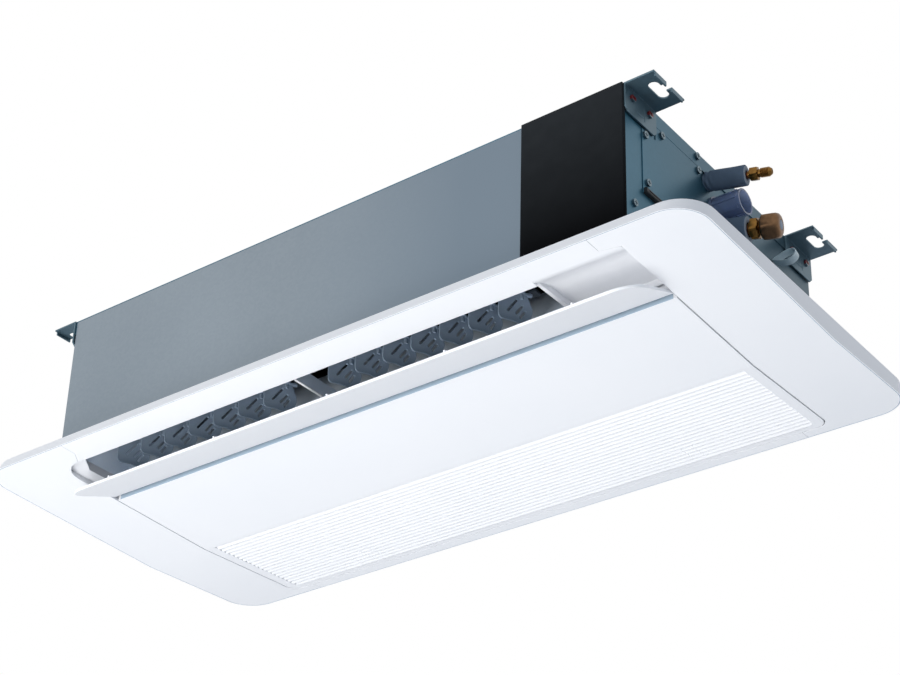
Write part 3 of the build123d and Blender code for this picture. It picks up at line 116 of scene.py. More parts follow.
def fade_along(tree, place, colour, fade):
    """Colour that changes along an axis, used to paint shade; fade is the axis, its start, its end
    and the last colour.
    """
    if not fade:
        return colour
    axis, first, last, last_colour = fade
    apart = add_node(tree, "ShaderNodeSeparateXYZ", {"Vector": place})
    share = add_node(tree, "ShaderNodeMapRange", {
        "Value": apart.outputs[axis], "From Min": first, "From Max": last})
    faded = add_node(tree, "ShaderNodeMix", {
        0: share.outputs["Result"], 6: colour, 7: linear(last_colour)}, data_type="RGBA")
    return faded.outputs[2]


def galvanised(name, dull, bright, roughness, metallic, fade=None):
    """Galvanised sheet: zinc flowers 3 mm across over a drift 0.25 m long, both faint."""
    material, tree, place = start_material(name)
    flowers = add_node(tree, "ShaderNodeTexVoronoi", {"Vector": place, "Scale": 1 / (3 * mm)})
    drift = add_node(tree, "ShaderNodeTexNoise", {"Vector": place, "Scale": 4.0, "Detail": 2.0})
    flower_tone = add_node(tree, "ShaderNodeSeparateColor", {"Color": flowers.outputs["Color"]})
    share = add_node(tree, "ShaderNodeMath", {
        0: flower_tone.outputs["Red"], 1: 0.16, 2: drift.outputs["Fac"]}, operation="MULTIPLY_ADD")
    tint = add_node(tree, "ShaderNodeMix", {
        0: share.outputs[0], 6: linear(dull), 7: linear(bright)}, data_type="RGBA")
    colour = fade_along(tree, place, tint.outputs[2], fade)
    relief = add_node(tree, "ShaderNodeBump", {
        "Height": flowers.outputs["Distance"], "Strength": 0.04, "Distance": 0.05 * mm})
    shader = add_node(tree, "ShaderNodeBsdfPrincipled", {
        "Base Color": colour, "Metallic": metallic, "Roughness": roughness,
        "Normal": relief.outputs["Normal"]})
    add_node(tree, "ShaderNodeOutputMaterial", {"Surface": shader.outputs["BSDF"]})
    return material


def paint(material, *names):
    """Gives CAD nodes their finish."""
    for name in names:
        slots = nodes[name].data.materials
        slots.clear()
        slots.append(material)


def finish_piece(piece, material, body):
    """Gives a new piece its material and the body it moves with."""
    piece.data.materials.clear()
    piece.data.materials.append(material)
    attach(piece, body)


def softened(name, width, material, reshape=None, round_from=40, pierced_top=None):
    """Copy of a CAD node with merged faces and rounded edges, which replaces the node.  Edges that
    turn by round_from degrees or more are rounded.  Faces at the height of a pierced top aren't
    merged, because one face there would close its openings."""
    same_place, same_height, flat_within = 0.005 * mm, 0.01 * mm, radians(0.5)
    mesh = nodes[name].data.copy()
    piece = bpy.data.objects.new(name + "_finished", mesh)
    bpy.context.scene.collection.objects.link(piece)
    work = bmesh.new()
    work.from_mesh(mesh)
    bmesh.ops.remove_doubles(work, verts=work.verts, dist=same_place)
    if pierced_top is None:
        bmesh.ops.dissolve_limit(work, angle_limit=flat_within, verts=work.verts, edges=work.edges)
    else:
        lower = [edge for edge in work.edges
                 if min(end.co.z for end in edge.verts) < pierced_top - same_height]
        bmesh.ops.dissolve_limit(work, angle_limit=flat_within, verts=[], edges=lower)
    work.to_mesh(mesh)
    work.free()
    if reshape:
        places = np.empty(len(mesh.vertices) * 3)
        mesh.vertices.foreach_get("co", places)
        mesh.vertices.foreach_set("co", reshape(places.reshape(-1, 3)).ravel())
    mesh.polygons.foreach_set("use_smooth", np.ones(len(mesh.polygons), bool))
    edge = piece.modifiers.new("edge_radius", "BEVEL")
    edge.width = width
    edge.segments = 2
    edge.limit_method = "ANGLE"
    edge.angle_limit = radians(round_from)
    edge.use_clamp_overlap = False
    edge.miter_outer = "MITER_ARC"
    shading = piece.modifiers.new("flat_faces", "WEIGHTED_NORMAL")
    shading.weight = 100
    finish_piece(piece, material, nodes[name]["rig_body"])
    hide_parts(name)
    return piece


# The fade along X paints shade: the sheet is darker towards the pipe end.
casing_steel = galvanised("galvanised_steel", "#7a8690", "#919ca5", 0.42, 0.55,
                          fade=("X", -0.05, 0.2, "#748390"))
fold_radius = 0.5 * mm
for sheet_name in ("front_plate", "rear_plate"):
    softened(sheet_name, fold_radius, casing_steel)
paint(casing_steel, "partition", "control_box", "tube_plates")

# --- End plates and the control cover ---
# Galvanised sheet with a blue-green cast closes both ends and the top.  Its colour is painted
# darker than the casing's, as painted shade on the shaded ends, and darker and greyer towards
# the rear, painted shade as well.  The right end carries the control cover, a flat plate on four
# screws.
# Painted shade: a darker tone than the casing, fading darker and greyer towards the rear.
end_steel = galvanised("end_galvanised_steel_painted_shade", "#28586c", "#386b81", 0.38, 0.6,
                       fade=("Y", -0.2, 0.13, "#3b5562"))
sheet_edge = 0.3 * mm
for sheet_name in ("top_cover", "left_end_plate", "right_end_plate", "control_cover"):
    softened(sheet_name, sheet_edge, end_steel)

# --- Hangers ---
# Four brackets are stamped from 2 mm galvanised plate, with an open slot for the hanging rod and
# two pressed marks.  The cut edges are a little rounded.
hanger_steel = galvanised("stamped_galvanised_plate", "#49626f", "#5d7581", 0.4, 0.6)
stamped_edge = 0.35 * mm
softened("hanger_brackets", stamped_edge, hanger_steel)

# --- Casing screws ---
# Pan-head screws, zinc plated, with a cross recess.  Red lock varnish marks the hanger screws,
# which are the only ones between the two heights, halfway up the brackets.
varnish_low, varnish_high = 174.0 * mm, 179.0 * mm
zinc_screw, tree, place = start_material("zinc_plated_screw")
plating = add_node(tree, "ShaderNodeTexNoise", {
    "Vector": place, "Scale": 1 / (1.2 * mm), "Detail": 2.0})
apart = add_node(tree, "ShaderNodeSeparateXYZ", {"Vector": place})
above = add_node(tree, "ShaderNodeMath", {
    0: apart.outputs["Z"], 1: varnish_low}, operation="GREATER_THAN")
below = add_node(tree, "ShaderNodeMath", {
    0: apart.outputs["Z"], 1: varnish_high}, operation="LESS_THAN")
band = add_node(tree, "ShaderNodeMath", {
    0: above.outputs[0], 1: below.outputs[0]}, operation="MULTIPLY")
zinc = add_node(tree, "ShaderNodeMix", {
    0: plating.outputs["Fac"], 6: linear("#4f626c"), 7: linear("#7b8d96")}, data_type="RGBA")
tint = add_node(tree, "ShaderNodeMix", {
    0: band.outputs[0], 6: zinc.outputs[2], 7: linear("#6f1216")}, data_type="RGBA")
bare = add_node(tree, "ShaderNodeMath", {0: 1.0, 1: band.outputs[0]}, operation="SUBTRACT")
shader = add_node(tree, "ShaderNodeBsdfPrincipled", {
    "Base Color": tint.outputs[2], "Roughness": 0.32, "Metallic": bare.outputs[0]})
add_node(tree, "ShaderNodeOutputMaterial", {"Surface": shader.outputs["BSDF"]})
paint(zinc_screw, "casing_screws")

# --- Front insulation ---
# A 5 mm sheet of black closed-cell foam is glued over the control end of the front plate.  It is
# die cut, so its edges are crisp but soft, and it swallows nearly all light.  Its colour is painted
# shade: greyer at the top, where light grazes it, and near black at the bottom, near the panel.


def rounded_rectangle(half_width, half_height, radius, inset, corner_steps=6):
    """Outline of a rectangle with round corners, drawn in by an inset: four quarter arcs in turn."""
    smallest = 0.02 * mm
    quarter = np.linspace(0, tau / 4, corner_steps)
    angles = (np.arange(4)[:, None] * tau / 4 + quarter).ravel()
    sign_x = np.repeat([1, -1, -1, 1], corner_steps)
    sign_y = np.repeat([1, 1, -1, -1], corner_steps)
    corner = max(radius - inset, smallest)
    x = sign_x * (half_width - inset - corner) + corner * np.cos(angles)
    y = sign_y * (half_height - inset - corner) + corner * np.sin(angles)
    return np.stack([x, y], axis=-1)


def skin_over(name, rings, ends="closed"):
    """Mesh over rings of points: each ring joins the next, and the ends are capped or joined.
    Edges that turn by more than 38 degrees stay sharp."""
    same_place, sharp_from = 0.001 * mm, radians(38)
    rings = np.asarray(rings)
    count, around = rings.shape[:2]
    here = np.arange(count * around).reshape(count, around)
    beside = np.roll(here, -1, axis=1)
    if ends == "joined":
        ahead, ahead_beside = np.roll(here, -1, axis=0), np.roll(beside, -1, axis=0)
        quads = np.stack([here, beside, ahead_beside, ahead], axis=-1)
        caps = []
    else:
        quads = np.stack([here[:-1], beside[:-1], beside[1:], here[1:]], axis=-1)
        caps = [here[0][::-1].tolist(), here[-1].tolist()]
    mesh = bpy.data.meshes.new(name)
    mesh.from_pydata(rings.reshape(-1, 3).tolist(), [], quads.reshape(-1, 4).tolist() + caps)
    work = bmesh.new()
    work.from_mesh(mesh)
    bmesh.ops.remove_doubles(work, verts=work.verts, dist=same_place)
    bmesh.ops.recalc_face_normals(work, faces=work.faces)
    work.to_mesh(mesh)
    work.free()
    mesh.polygons.foreach_set("use_smooth", np.ones(len(mesh.polygons), bool))
    mesh.set_sharp_from_angle(angle=sharp_from)
    piece = bpy.data.objects.new(name, mesh)
    bpy.context.scene.collection.objects.link(piece)
    return piece


def foam(name, dark, light, cell, fade=None):
    """Closed-cell foam: pores of one cell size press small dimples into a matt skin."""
    material, tree, place = start_material(name)
    pores = add_node(tree, "ShaderNodeTexVoronoi", {"Vector": place, "Scale": 1 / cell})
    cloud = add_node(tree, "ShaderNodeTexNoise", {
        "Vector": place, "Scale": 1 / (18 * mm), "Detail": 3.0})
    tint = add_node(tree, "ShaderNodeMix", {
        0: cloud.outputs["Fac"], 6: linear(dark), 7: linear(light)}, data_type="RGBA")
    colour = fade_along(tree, place, tint.outputs[2], fade)
    relief = add_node(tree, "ShaderNodeBump", {
        "Height": pores.outputs["Distance"], "Strength": 0.35, "Distance": 0.15 * mm})
    shader = add_node(tree, "ShaderNodeBsdfPrincipled", {
        "Base Color": colour, "Roughness": 0.85, "Specular IOR Level": 0.03,
        "Normal": relief.outputs["Normal"]})
    add_node(tree, "ShaderNodeOutputMaterial", {"Surface": shader.outputs["BSDF"]})
    return material


# The fade along Z paints shade: greyer at the top, near black towards the panel.
black_foam = foam("black_closed_cell_foam", "#26292c", "#2f3235", 1.0 * mm,
                  fade=("Z", cad_high[2], 0.0, "#020203"))
foam_low, foam_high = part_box("front_foam")
foam_middle = (foam_low + foam_high) / 2
foam_half = (foam_high - foam_low) / 2
foam_corner = 1.0 * mm
foam_profile = (    # (inset, height above the plate), mm
    (0.0, 0.0), (0.0, 3.9), (0.2, 4.5), (0.6, 4.85), (1.2, 4.95), (8.0, 5.0))
foam_rings = []
for inset, height in foam_profile:
    flat = rounded_rectangle(foam_half.x, foam_half.z, foam_corner, inset * mm)
    depth = np.full(len(flat), foam_high.y - height * mm)
    foam_rings.append(np.stack([foam_middle.x + flat[:, 0], depth, foam_middle.z + flat[:, 1]],
                               axis=-1))
front_pad = skin_over("front_insulation_pad", foam_rings)
finish_piece(front_pad, black_foam, "casing")
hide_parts("front_foam")

# --- Pipe insulation ---
# Each pipe stub wears a sleeve of slate-coloured elastomer foam, pushed against the end plate so
# that it crinkles there.  The cut end shows the paler inside of the foam round the copper.
pipe_direction = np.array([1.0, 0.2, -0.1]) / np.linalg.norm([1.0, 0.2, -0.1])
pipe_side = np.cross(pipe_direction, [0, 0, 1])
pipe_side = pipe_side / np.linalg.norm(pipe_side)
pipe_up = np.cross(pipe_side, pipe_direction)
wall_x = 404.8 * mm             # outer face of the end plate
around_count = 72


def along_pipe(start, stations, flats=0.0, ripple=None):
    """Rings round the stub's axis: each station is (distance, radius), cut to a hexagon's flats."""
    angle = np.linspace(0, tau, around_count, endpoint=False)
    distance, radius = np.asarray(stations, float).T * mm
    reach = np.repeat(radius[:, None], around_count, axis=1)
    if flats:
        from_flat = (angle + tau / 12) % (tau / 6) - tau / 12
        reach = np.minimum(reach, flats * mm / 2 / np.cos(from_flat))
    if ripple:
        reach = reach * ripple(distance[:, None], angle)
    spoke = np.cos(angle)[:, None] * pipe_side + np.sin(angle)[:, None] * pipe_up
    centre = np.asarray(start) + distance[:, None] * pipe_direction
    return centre[:, None, :] + reach[:, :, None] * spoke


def crinkle(distance, angle):
    """Share of the radius that is left: five slanting folds 9 percent deep and rings 5 mm apart,
    8 percent deep, both fading within 7 mm of the wall, on a slow unevenness of 1.2 percent."""
    near = np.exp(-(distance / (7 * mm)) ** 2)
    folds = 0.5 + 0.5 * np.sin(5 * angle + 900 * distance)
    rings = 0.5 + 0.5 * np.cos(tau * distance / (5 * mm) + 2 * np.sin(angle))
    return 1 - 0.09 * near * folds - 0.08 * near * rings - 0.012 * np.sin(3 * angle + 160 * distance)


slate_foam = foam("slate_elastomer_foam", "#536374", "#657587", 0.9 * mm)
cut_foam = foam("cut_elastomer_foam", "#8f9aa6", "#a5afb9", 1.1 * mm)
liquid_start = (wall_x, -41.5 * mm, 163.5 * mm)
gas_start = (wall_x, -31.5 * mm, 99.2 * mm)
pipe_rows = (   # name, start on the wall, then in mm sleeve radius, sleeve length, bore radius
    ("liquid", liquid_start, 11.5, 46.0, 4.8),
    ("gas", gas_start, 15.5, 40.0, 8.0),
)
for pipe_name, start, sleeve_radius, sleeve_length, sleeve_bore in pipe_rows:
    body_stations = [(d, sleeve_radius) for d in np.arange(-1.0, sleeve_length - 3, 0.75)]
    end_stations = [(sleeve_length - 1.6, sleeve_radius), (sleeve_length - 0.9, sleeve_radius - 0.15),
                    (sleeve_length - 0.5, sleeve_radius - 0.6), (sleeve_length - 0.5, sleeve_bore),
                    (sleeve_length - 12.0, sleeve_bore)]
    sleeve_rings = along_pipe(start, body_stations + end_stations, ripple=crinkle)
    sleeve = skin_over(pipe_name + "_sleeve", sleeve_rings)
    finish_piece(sleeve, slate_foam, "casing")
    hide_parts(pipe_name + "_insulation")
    ring_stations = [
        (sleeve_length - 0.8, sleeve_bore + 0.2), (sleeve_length - 0.8, sleeve_radius - 0.9),
        (sleeve_length - 0.2, sleeve_radius - 1.1), (sleeve_length - 0.05, sleeve_radius - 1.6),
        (sleeve_length - 0.1, sleeve_bore + 0.5)]
    cut_end = skin_over(pipe_name + "_sleeve_cut_end", along_pipe(start, ring_stations), ends="joined")
    finish_piece(cut_end, cut_foam, "casing")

# --- Flare unions ---
# The unions are turned from hexagonal brass bar: a hexagon with chamfered corners, a waist, a cut
# thread and a flare nose with a bore.  Handling has browned them, and the edges stay bright.


def turned_metal(name, dark, light, roughness):
    """Machined copper alloy: fine tool marks 0.25 mm apart and browned patches 4 mm across."""
    material, tree, place = start_material(name)
    tarnish = add_node(tree, "ShaderNodeTexNoise", {
        "Vector": place, "Scale": 1 / (4 * mm), "Detail": 3.0})
    marks = add_node(tree, "ShaderNodeTexNoise", {
        "Vector": place, "Scale": 1 / (0.25 * mm), "Detail": 1.0})
    tint = add_node(tree, "ShaderNodeMix", {
        0: tarnish.outputs["Fac"], 6: linear(dark), 7: linear(light)}, data_type="RGBA")
    relief = add_node(tree, "ShaderNodeBump", {
        "Height": marks.outputs["Fac"], "Strength": 0.12, "Distance": 0.03 * mm})
    shader = add_node(tree, "ShaderNodeBsdfPrincipled", {
        "Base Color": tint.outputs[2], "Metallic": 1.0, "Roughness": roughness,
        "Normal": relief.outputs["Normal"]})
    add_node(tree, "ShaderNodeOutputMaterial", {"Surface": shader.outputs["BSDF"]})
    return material


def hexagon_stations(start, length, flats):
    """Ends of a hexagon bar: a cone cuts each corner from its circumscribed circle to a washer
    face, which is 3 percent smaller than the flats."""
    corner = flats / 2 * 1.155
    face = flats / 2 * 0.97
    lean = (corner - flats / 2) * 0.55
    return [(start, 0.0), (start, face), (start + lean, corner), (start + length - lean, corner),
            (start + length, face), (start + length, 0.0)]


def threaded(start, root, crest, pitch, first, last):
    """Rings whose radius saws between root and crest as the helix passes: one turn per pitch, and
    eight rings to a turn."""
    steps = int((last - first) / pitch * 8)
    rings = along_pipe(start, [(d, crest) for d in np.linspace(first, last, steps)])
    distance = np.linspace(first, last, steps)[:, None]
    angle = np.linspace(0, tau, around_count, endpoint=False)
    saw = np.abs(((distance / pitch - angle / tau) % 1.0) * 2 - 1)
    centre = rings.mean(axis=1, keepdims=True)
    return centre + (rings - centre) * (root + (crest - root) * saw)[:, :, None] / crest


def bored_nose(crest, nose, bore, start, length, depth):
    """Stations of a flare nose: cone down to the nose, rounded lip, then the bore inwards."""
    end = start + length
    return [(start, crest * 0.9), (end - 0.5, nose + 0.2), (end, nose - 0.3), (end, bore + 0.2),
            (end - 0.4, bore), (end - depth, bore)]


brass = turned_metal("tarnished_brass", "#644423", "#93703a", 0.3)
liquid_base, liquid_flats, hexagon_length = 50.0, 14.0, 9.0     # mm; the base counts from the wall
liquid_hexagon = skin_over("liquid_union_hexagon", along_pipe(
    liquid_start, hexagon_stations(liquid_base, hexagon_length, liquid_flats), flats=liquid_flats))
finish_piece(liquid_hexagon, brass, "casing")
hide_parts("liquid_union")
liquid_waist = skin_over("liquid_union_waist", along_pipe(liquid_start, [
    (liquid_base - 2.5, 0.0), (liquid_base - 2.5, 4.3), (liquid_base + 0.2, 4.4),
    (liquid_base + 8.8, 4.4), (liquid_base + 12.2, 4.4), (liquid_base + 12.4, 0.0)]))
finish_piece(liquid_waist, brass, "casing")
liquid_pitch = 1.27             # 20 threads per inch
thread_rings = threaded(liquid_start, 4.75, 5.5, liquid_pitch, liquid_base + 12.0, liquid_base + 21.6)
nose_rings = along_pipe(liquid_start, bored_nose(5.3, 3.4, 2.3, liquid_base + 21.8, 2.6, 9.0))
liquid_thread = skin_over("liquid_union_thread", np.concatenate([thread_rings, nose_rings]))
finish_piece(liquid_thread, brass, "casing")

gas_base, gas_flats = 43.0, 22.0
gas_hexagon = skin_over("gas_union_hexagon", along_pipe(
    gas_start, hexagon_stations(gas_base, hexagon_length, gas_flats), flats=gas_flats))
finish_piece(gas_hexagon, brass, "casing")
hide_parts("gas_union")
gas_collar = skin_over("gas_union_collar", along_pipe(gas_start, [
    (gas_base - 2.0, 0.0), (gas_base - 2.0, 7.9), (gas_base + 0.3, 8.0), (gas_base + 0.3, 0.0)]))
finish_piece(gas_collar, brass, "casing")
gas_pitch = 1.81                # 14 threads per inch
gas_thread_rings = threaded(gas_start, 8.3, 9.3, gas_pitch, gas_base + 8.8, gas_base + 22.0)
gas_thread = skin_over("gas_union_thread", gas_thread_rings)
finish_piece(gas_thread, brass, "casing")

# --- Gas flare nut ---
# A large forged brass nut, orange-brown from its lacquer, closes the gas union for transport.  Its
# corners are turned down at both ends and a grey plastic plug fills its bore.
nut_brass = turned_metal("lacquered_forged_brass", "#5b4331", "#80644a", 0.4)
nut_first, nut_length, nut_flats, plug_radius = gas_base + 12.0, 21.0, 27.0, 5.6
nut_corner = nut_flats / 2 * 1.12
nut_stations = [(nut_first + distance, radius) for distance, radius in (
    (0.0, 9.4), (0.0, 12.2), (0.8, 13.2), (2.4, nut_corner), (14.5, nut_corner), (17.0, 14.2),
    (19.2, 12.6), (20.5, 10.6), (nut_length, 8.4), (nut_length, plug_radius + 0.2),
    (12.0, plug_radius + 0.1), (10.0, 9.4))]
nut_rings = along_pipe(gas_start, nut_stations, flats=nut_flats)
gas_nut = skin_over("gas_flare_nut", nut_rings, ends="joined")
finish_piece(gas_nut, nut_brass, "casing")
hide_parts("gas_nut")


def moulded(name, dark, light, roughness, mottle, grain, fade=None, **sockets):
    """Injection-moulded plastic: a slow mottle between two close tones and a fine etched grain."""
    material, tree, place = start_material(name)
    cloud = add_node(tree, "ShaderNodeTexNoise", {"Vector": place, "Scale": 1 / mottle, "Detail": 2.0})
    etched = add_node(tree, "ShaderNodeTexNoise", {"Vector": place, "Scale": 1 / grain, "Detail": 2.0})
    tint = add_node(tree, "ShaderNodeMix", {
        0: cloud.outputs["Fac"], 6: linear(dark), 7: linear(light)}, data_type="RGBA")
    relief = add_node(tree, "ShaderNodeBump", {
        "Height": etched.outputs["Fac"], "Strength": 0.15, "Distance": 0.02 * mm})
    colour = fade_along(tree, place, tint.outputs[2], fade)
    inputs = {"Base Color": colour, "Roughness": roughness, "Normal": relief.outputs["Normal"]}
    inputs.update({key.replace("_", " "): value for key, value in sockets.items()})
    shader = add_node(tree, "ShaderNodeBsdfPrincipled", inputs)
    add_node(tree, "ShaderNodeOutputMaterial", {"Surface": shader.outputs["BSDF"]})
    return material


plug_plastic = moulded("grey_polyethylene", "#5f7388", "#6c8096", 0.45, 6 * mm, 0.5 * mm)
gas_plug = skin_over("gas_nut_plug", along_pipe(gas_start, [
    (nut_first + 11.0, 0.0), (nut_first + 11.0, plug_radius), (nut_first + 20.6, plug_radius),
    (nut_first + 21.0, plug_radius - 0.3), (nut_first + 21.2, plug_radius - 0.9),
    (nut_first + 21.2, 0.0)]))
finish_piece(gas_plug, plug_plastic, "casing")
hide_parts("gas_plug")

# --- Copper pipes and coil ---
# Drawn copper tube, reddish and satin, runs to the unions; the coil's bends are the same tube, and
# its fins are thin aluminium.  Their colour is painted in bands at the fin pitch, from dark grey to
# light grey: painted shade in the gaps between fins and a painted highlight on each fin.
copper = turned_metal("drawn_copper", "#8e4a35", "#b4684c", 0.34)
paint(copper, "refrigerant_pipes", "exchanger_tubes")
fin_pitch = 1.6 * mm
aluminium, tree, place = start_material("fin_aluminium_painted_shade")
# Bands at the fin pitch paint shade between the fins and a highlight on each fin.
fins = add_node(tree, "ShaderNodeTexWave", {"Vector": place, "Scale": 1 / fin_pitch / tau},
                bands_direction="X")
tint = add_node(tree, "ShaderNodeMix", {
    0: fins.outputs["Fac"], 6: linear("#5e666c"), 7: linear("#c3c9cd")}, data_type="RGBA")
shader = add_node(tree, "ShaderNodeBsdfPrincipled", {
    "Base Color": tint.outputs[2], "Metallic": 0.8, "Roughness": 0.4})
add_node(tree, "ShaderNodeOutputMaterial", {"Surface": shader.outputs["BSDF"]})
paint(aluminium, "exchanger_fins")

# --- Condensate parts ---
# The pan is white expanded polystyrene; pump and float are grey moulded plastic.  The drain socket
# is clear violet-blue vinyl, ribbed, and its soft hose is black.
polystyrene = foam("expanded_polystyrene", "#e4e6e3", "#f1f2ef", 3.5 * mm)
paint(polystyrene, "drain_pan")
grey_plastic = moulded("grey_polypropylene", "#7f868e", "#8b929a", 0.5, 40 * mm, 0.5 * mm)
paint(grey_plastic, "drain_pump", "drain_float", "fan_motor", "louvre_motors")
clear_vinyl = moulded("violet_clear_vinyl", "#8b9dc3", "#9fb0d2", 0.22, 12 * mm, 0.8 * mm,
                      Transmission_Weight=0.55, IOR=1.5)
paint(clear_vinyl, "drain_socket")
rubber = moulded("black_rubber", "#16181a", "#1f2224", 0.6, 20 * mm, 0.4 * mm)
paint(rubber, "drain_hose", "cable_grommet", "fan_bearing")

# --- Cable loop ---
# A strap of natural nylon, 9 mm wide, is bent into a teardrop and held by an eye on the end plate.
# It is milky and lets light through.
loop_foot = np.array([wall_x + 0.4 * mm, 103 * mm, 138 * mm])
loop_across = np.array([0.0, 1.0, -0.35])
loop_across = loop_across / np.linalg.norm(loop_across)
loop_out = np.array([1.0, 0.0, 0.0])
loop_up = np.cross(loop_across, loop_out)
loop_length, loop_height = 29.5 * mm, 12.5 * mm
strap_width, strap_thickness, strap_corner = 9.0 * mm, 1.3 * mm, 0.6 * mm
strap_steps = 64
turn = np.linspace(0, tau, strap_steps, endpoint=False) + tau / strap_steps / 2
drop_out = loop_length / 2 * (1 - np.cos(turn))
drop_up = loop_height * np.sin(turn) * np.sin(turn / 2) ** 1.3
path = drop_out[:, None] * loop_out + drop_up[:, None] * loop_up
heading = np.roll(path, -1, axis=0) - np.roll(path, 1, axis=0)
heading = heading / np.linalg.norm(heading, axis=1, keepdims=True)
strap_normal = np.cross(heading, loop_across)
section = rounded_rectangle(strap_width / 2, strap_thickness / 2, strap_corner, 0.0, 4)
strap_rings = ((loop_foot + path)[:, None, :] + section[None, :, :1] * loop_across
               + section[None, :, 1:] * strap_normal[:, None, :])
cable_strap = skin_over("nylon_cable_strap", strap_rings, ends="joined")
nylon = moulded("natural_nylon", "#c3d8e0", "#d9e8ed", 0.35, 8 * mm, 0.6 * mm,
                Transmission_Weight=0.35)
finish_piece(cable_strap, nylon, "casing")
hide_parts("cable_loop")

# --- Control board ---
# The board is green glass epoxy.  Solder resist over copper tracks gives it a glossy, slightly
# mottled face.
board = moulded("green_glass_epoxy", "#1f5a39", "#2c7a4c", 0.3, 3 * mm, 0.5 * mm)
paint(board, "control_board")

# --- Fan and its scroll ---
# The cross-flow rotor and the scroll behind it are black glass-filled plastic, matt and dusty.
fan_plastic = moulded("black_glass_filled_plastic", "#1c1f22", "#292d31", 0.55, 30 * mm, 0.5 * mm)
paint(fan_plastic, "fan_rotor", "fan_scroll")

# --- Outlet duct ---
# The duct is lined with satin galvanised sheet with faint zinc flowers.  Its colour is painted near
# white and pale blue and it has no metal sheen: painted light, standing in for light from below.  A
# thin white strip edges the tie across its middle.


def straight_bar(name, section, axis, ends, level, height):
    """Bar along X (axis 0) or Y (axis 1): its section stands at both ends, at a level on the other
    horizontal axis and at a height."""
    rings = np.empty((2, len(section), 3))
    for ring, end in zip(rings, ends):
        ring[:, axis] = end
        ring[:, 1 - axis] = level + section[:, 0]
        ring[:, 2] = height + section[:, 1]
    return skin_over(name, rings)


# Painted light: a near-white colour and no metal sheen stand in for light reaching the duct.
duct_sheet_painted_light = galvanised("duct_galvanised_painted_light", "#d6e8fd", "#ecf6ff", 0.35, 0.0)
paint(duct_sheet_painted_light, "outlet_duct")
strip_section = rounded_rectangle(1.5 * mm, 0.7 * mm, 0.4 * mm, 0.0, 4)
strip_ends, strip_x, strip_z = (-194.2 * mm, -128.2 * mm), -39.25 * mm, -10.2 * mm
divider_strip = straight_bar("outlet_divider_strip", strip_section, 1, strip_ends, strip_x, strip_z)
white_vinyl = moulded("white_vinyl", "#eceff3", "#f6f7f9", 0.4, 60 * mm, 0.6 * mm)
finish_piece(divider_strip, white_vinyl, "casing")

# --- Guide vanes ---
# Fourteen paddles are moulded from slate-blue plastic, each with three slots and rounded edges.
# They hang on a rail, and two link bars turn them together.  Their tips reach 3.7 mm lower than
# the solids', down to 13 mm below the pivots' zero level.
vane_tip, solid_tip = 13.0 * mm, 9.3 * mm     # below the zero level
# The fade along Z paints shade: the paddles darken from the top towards their tips.
vane_plastic = moulded("slate_polypropylene", "#a9bdd4", "#bccfe4", 0.38, 30 * mm, 0.5 * mm,
                       fade=("Z", 12 * mm, -vane_tip, "#667686"))


def lower_tips(places):
    """Heights below zero are stretched from the solid's tip to the finished one, and nothing
    above moves."""
    z = places[:, 2]
    places[:, 2] = np.where(z < 0, z * vane_tip / solid_tip, z)
    return places


vane_edge = 0.5 * mm
for group in ("left", "right"):
    for number in range(1, 8):
        softened("vane_%s_%d" % (group, number), vane_edge, vane_plastic,
                 reshape=lower_tips)
link_plastic = moulded("dark_polyacetal", "#3b444e", "#48525d", 0.4, 20 * mm, 0.5 * mm)
paint(link_plastic, "vane_rail", "link_left", "link_right")

# --- Ceiling panel ---
# Frame and end covers are white ABS with a fine etched grain.  Moulded edges have a small radius,
# so that the rim and the seams show as soft lines.  The frame's top lies at zero height.
white_abs = moulded("white_abs", "#f0f2f6", "#f5f6f9", 0.42, 150 * mm, 0.6 * mm)
frame_edge, cover_edge = 0.2 * mm, 0.3 * mm
softened("panel_frame", frame_edge, white_abs, round_from=60, pierced_top=0.0)
for cover_name in ("left_cover", "right_cover"):
    softened(cover_name, cover_edge, white_abs)

# --- Rim groove ---
# A fine groove runs round the underside between the rim and the flat, in line with the end covers'
# outer seam.  Its shade is painted: a thin grey-blue bead lies in the seam and stands in for the
# shadow in the groove.


def seam_bead(name, inset, radius, proud, samples=900, around=8):
    """Bead round the panel: the rim's rounded outline, drawn in by an inset.  The underside's
    height runs straight from the front edge to its lowest line and from there to the rear edge,
    and the bead stands a little proud of it."""
    panel_corner = 40 * mm
    lowest_y, front_z, lowest_z, rear_z = 46 * mm, -15 * mm, -25 * mm, -17 * mm
    panel_low, panel_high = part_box("panel_frame")
    middle = (panel_low + panel_high) / 2
    half = panel_high - middle
    corners = rounded_rectangle(half.x, half.y, panel_corner, inset, 16)
    corners = np.vstack([corners, corners[:1]])
    run = np.concatenate([[0], np.cumsum(np.linalg.norm(np.diff(corners, axis=0), axis=1))])
    here = np.linspace(0, run[-1], samples, endpoint=False)
    x = middle.x + np.interp(here, run, corners[:, 0])
    y = middle.y + np.interp(here, run, corners[:, 1])
    z = np.interp(y, [panel_low.y, lowest_y, panel_high.y], [front_z, lowest_z, rear_z])
    path = np.stack([x, y, z + radius - proud], axis=-1)
    ahead = np.roll(path, -1, axis=0) - np.roll(path, 1, axis=0)
    outwards = np.stack([ahead[:, 1], -ahead[:, 0], np.zeros(samples)], axis=-1)
    outwards = outwards / np.linalg.norm(outwards, axis=1, keepdims=True)
    turn = np.linspace(0, tau, around, endpoint=False)
    rings = path[:, None, :] + radius * np.cos(turn)[None, :, None] * outwards[:, None, :]
    rings[:, :, 2] += radius * np.sin(turn)
    return skin_over(name, rings, ends="joined")


rim_groove = seam_bead("panel_rim_groove", 1.4 * mm, 0.6 * mm, 0.12 * mm)
# The bead's grey-blue is painted shadow for the groove.
groove_painted_shade = moulded("grey_blue_groove_painted_shade", "#8da2b4", "#9bafc0", 0.6, 40 * mm, 0.6 * mm)
finish_piece(rim_groove, groove_painted_shade, nodes["panel_frame"]["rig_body"])

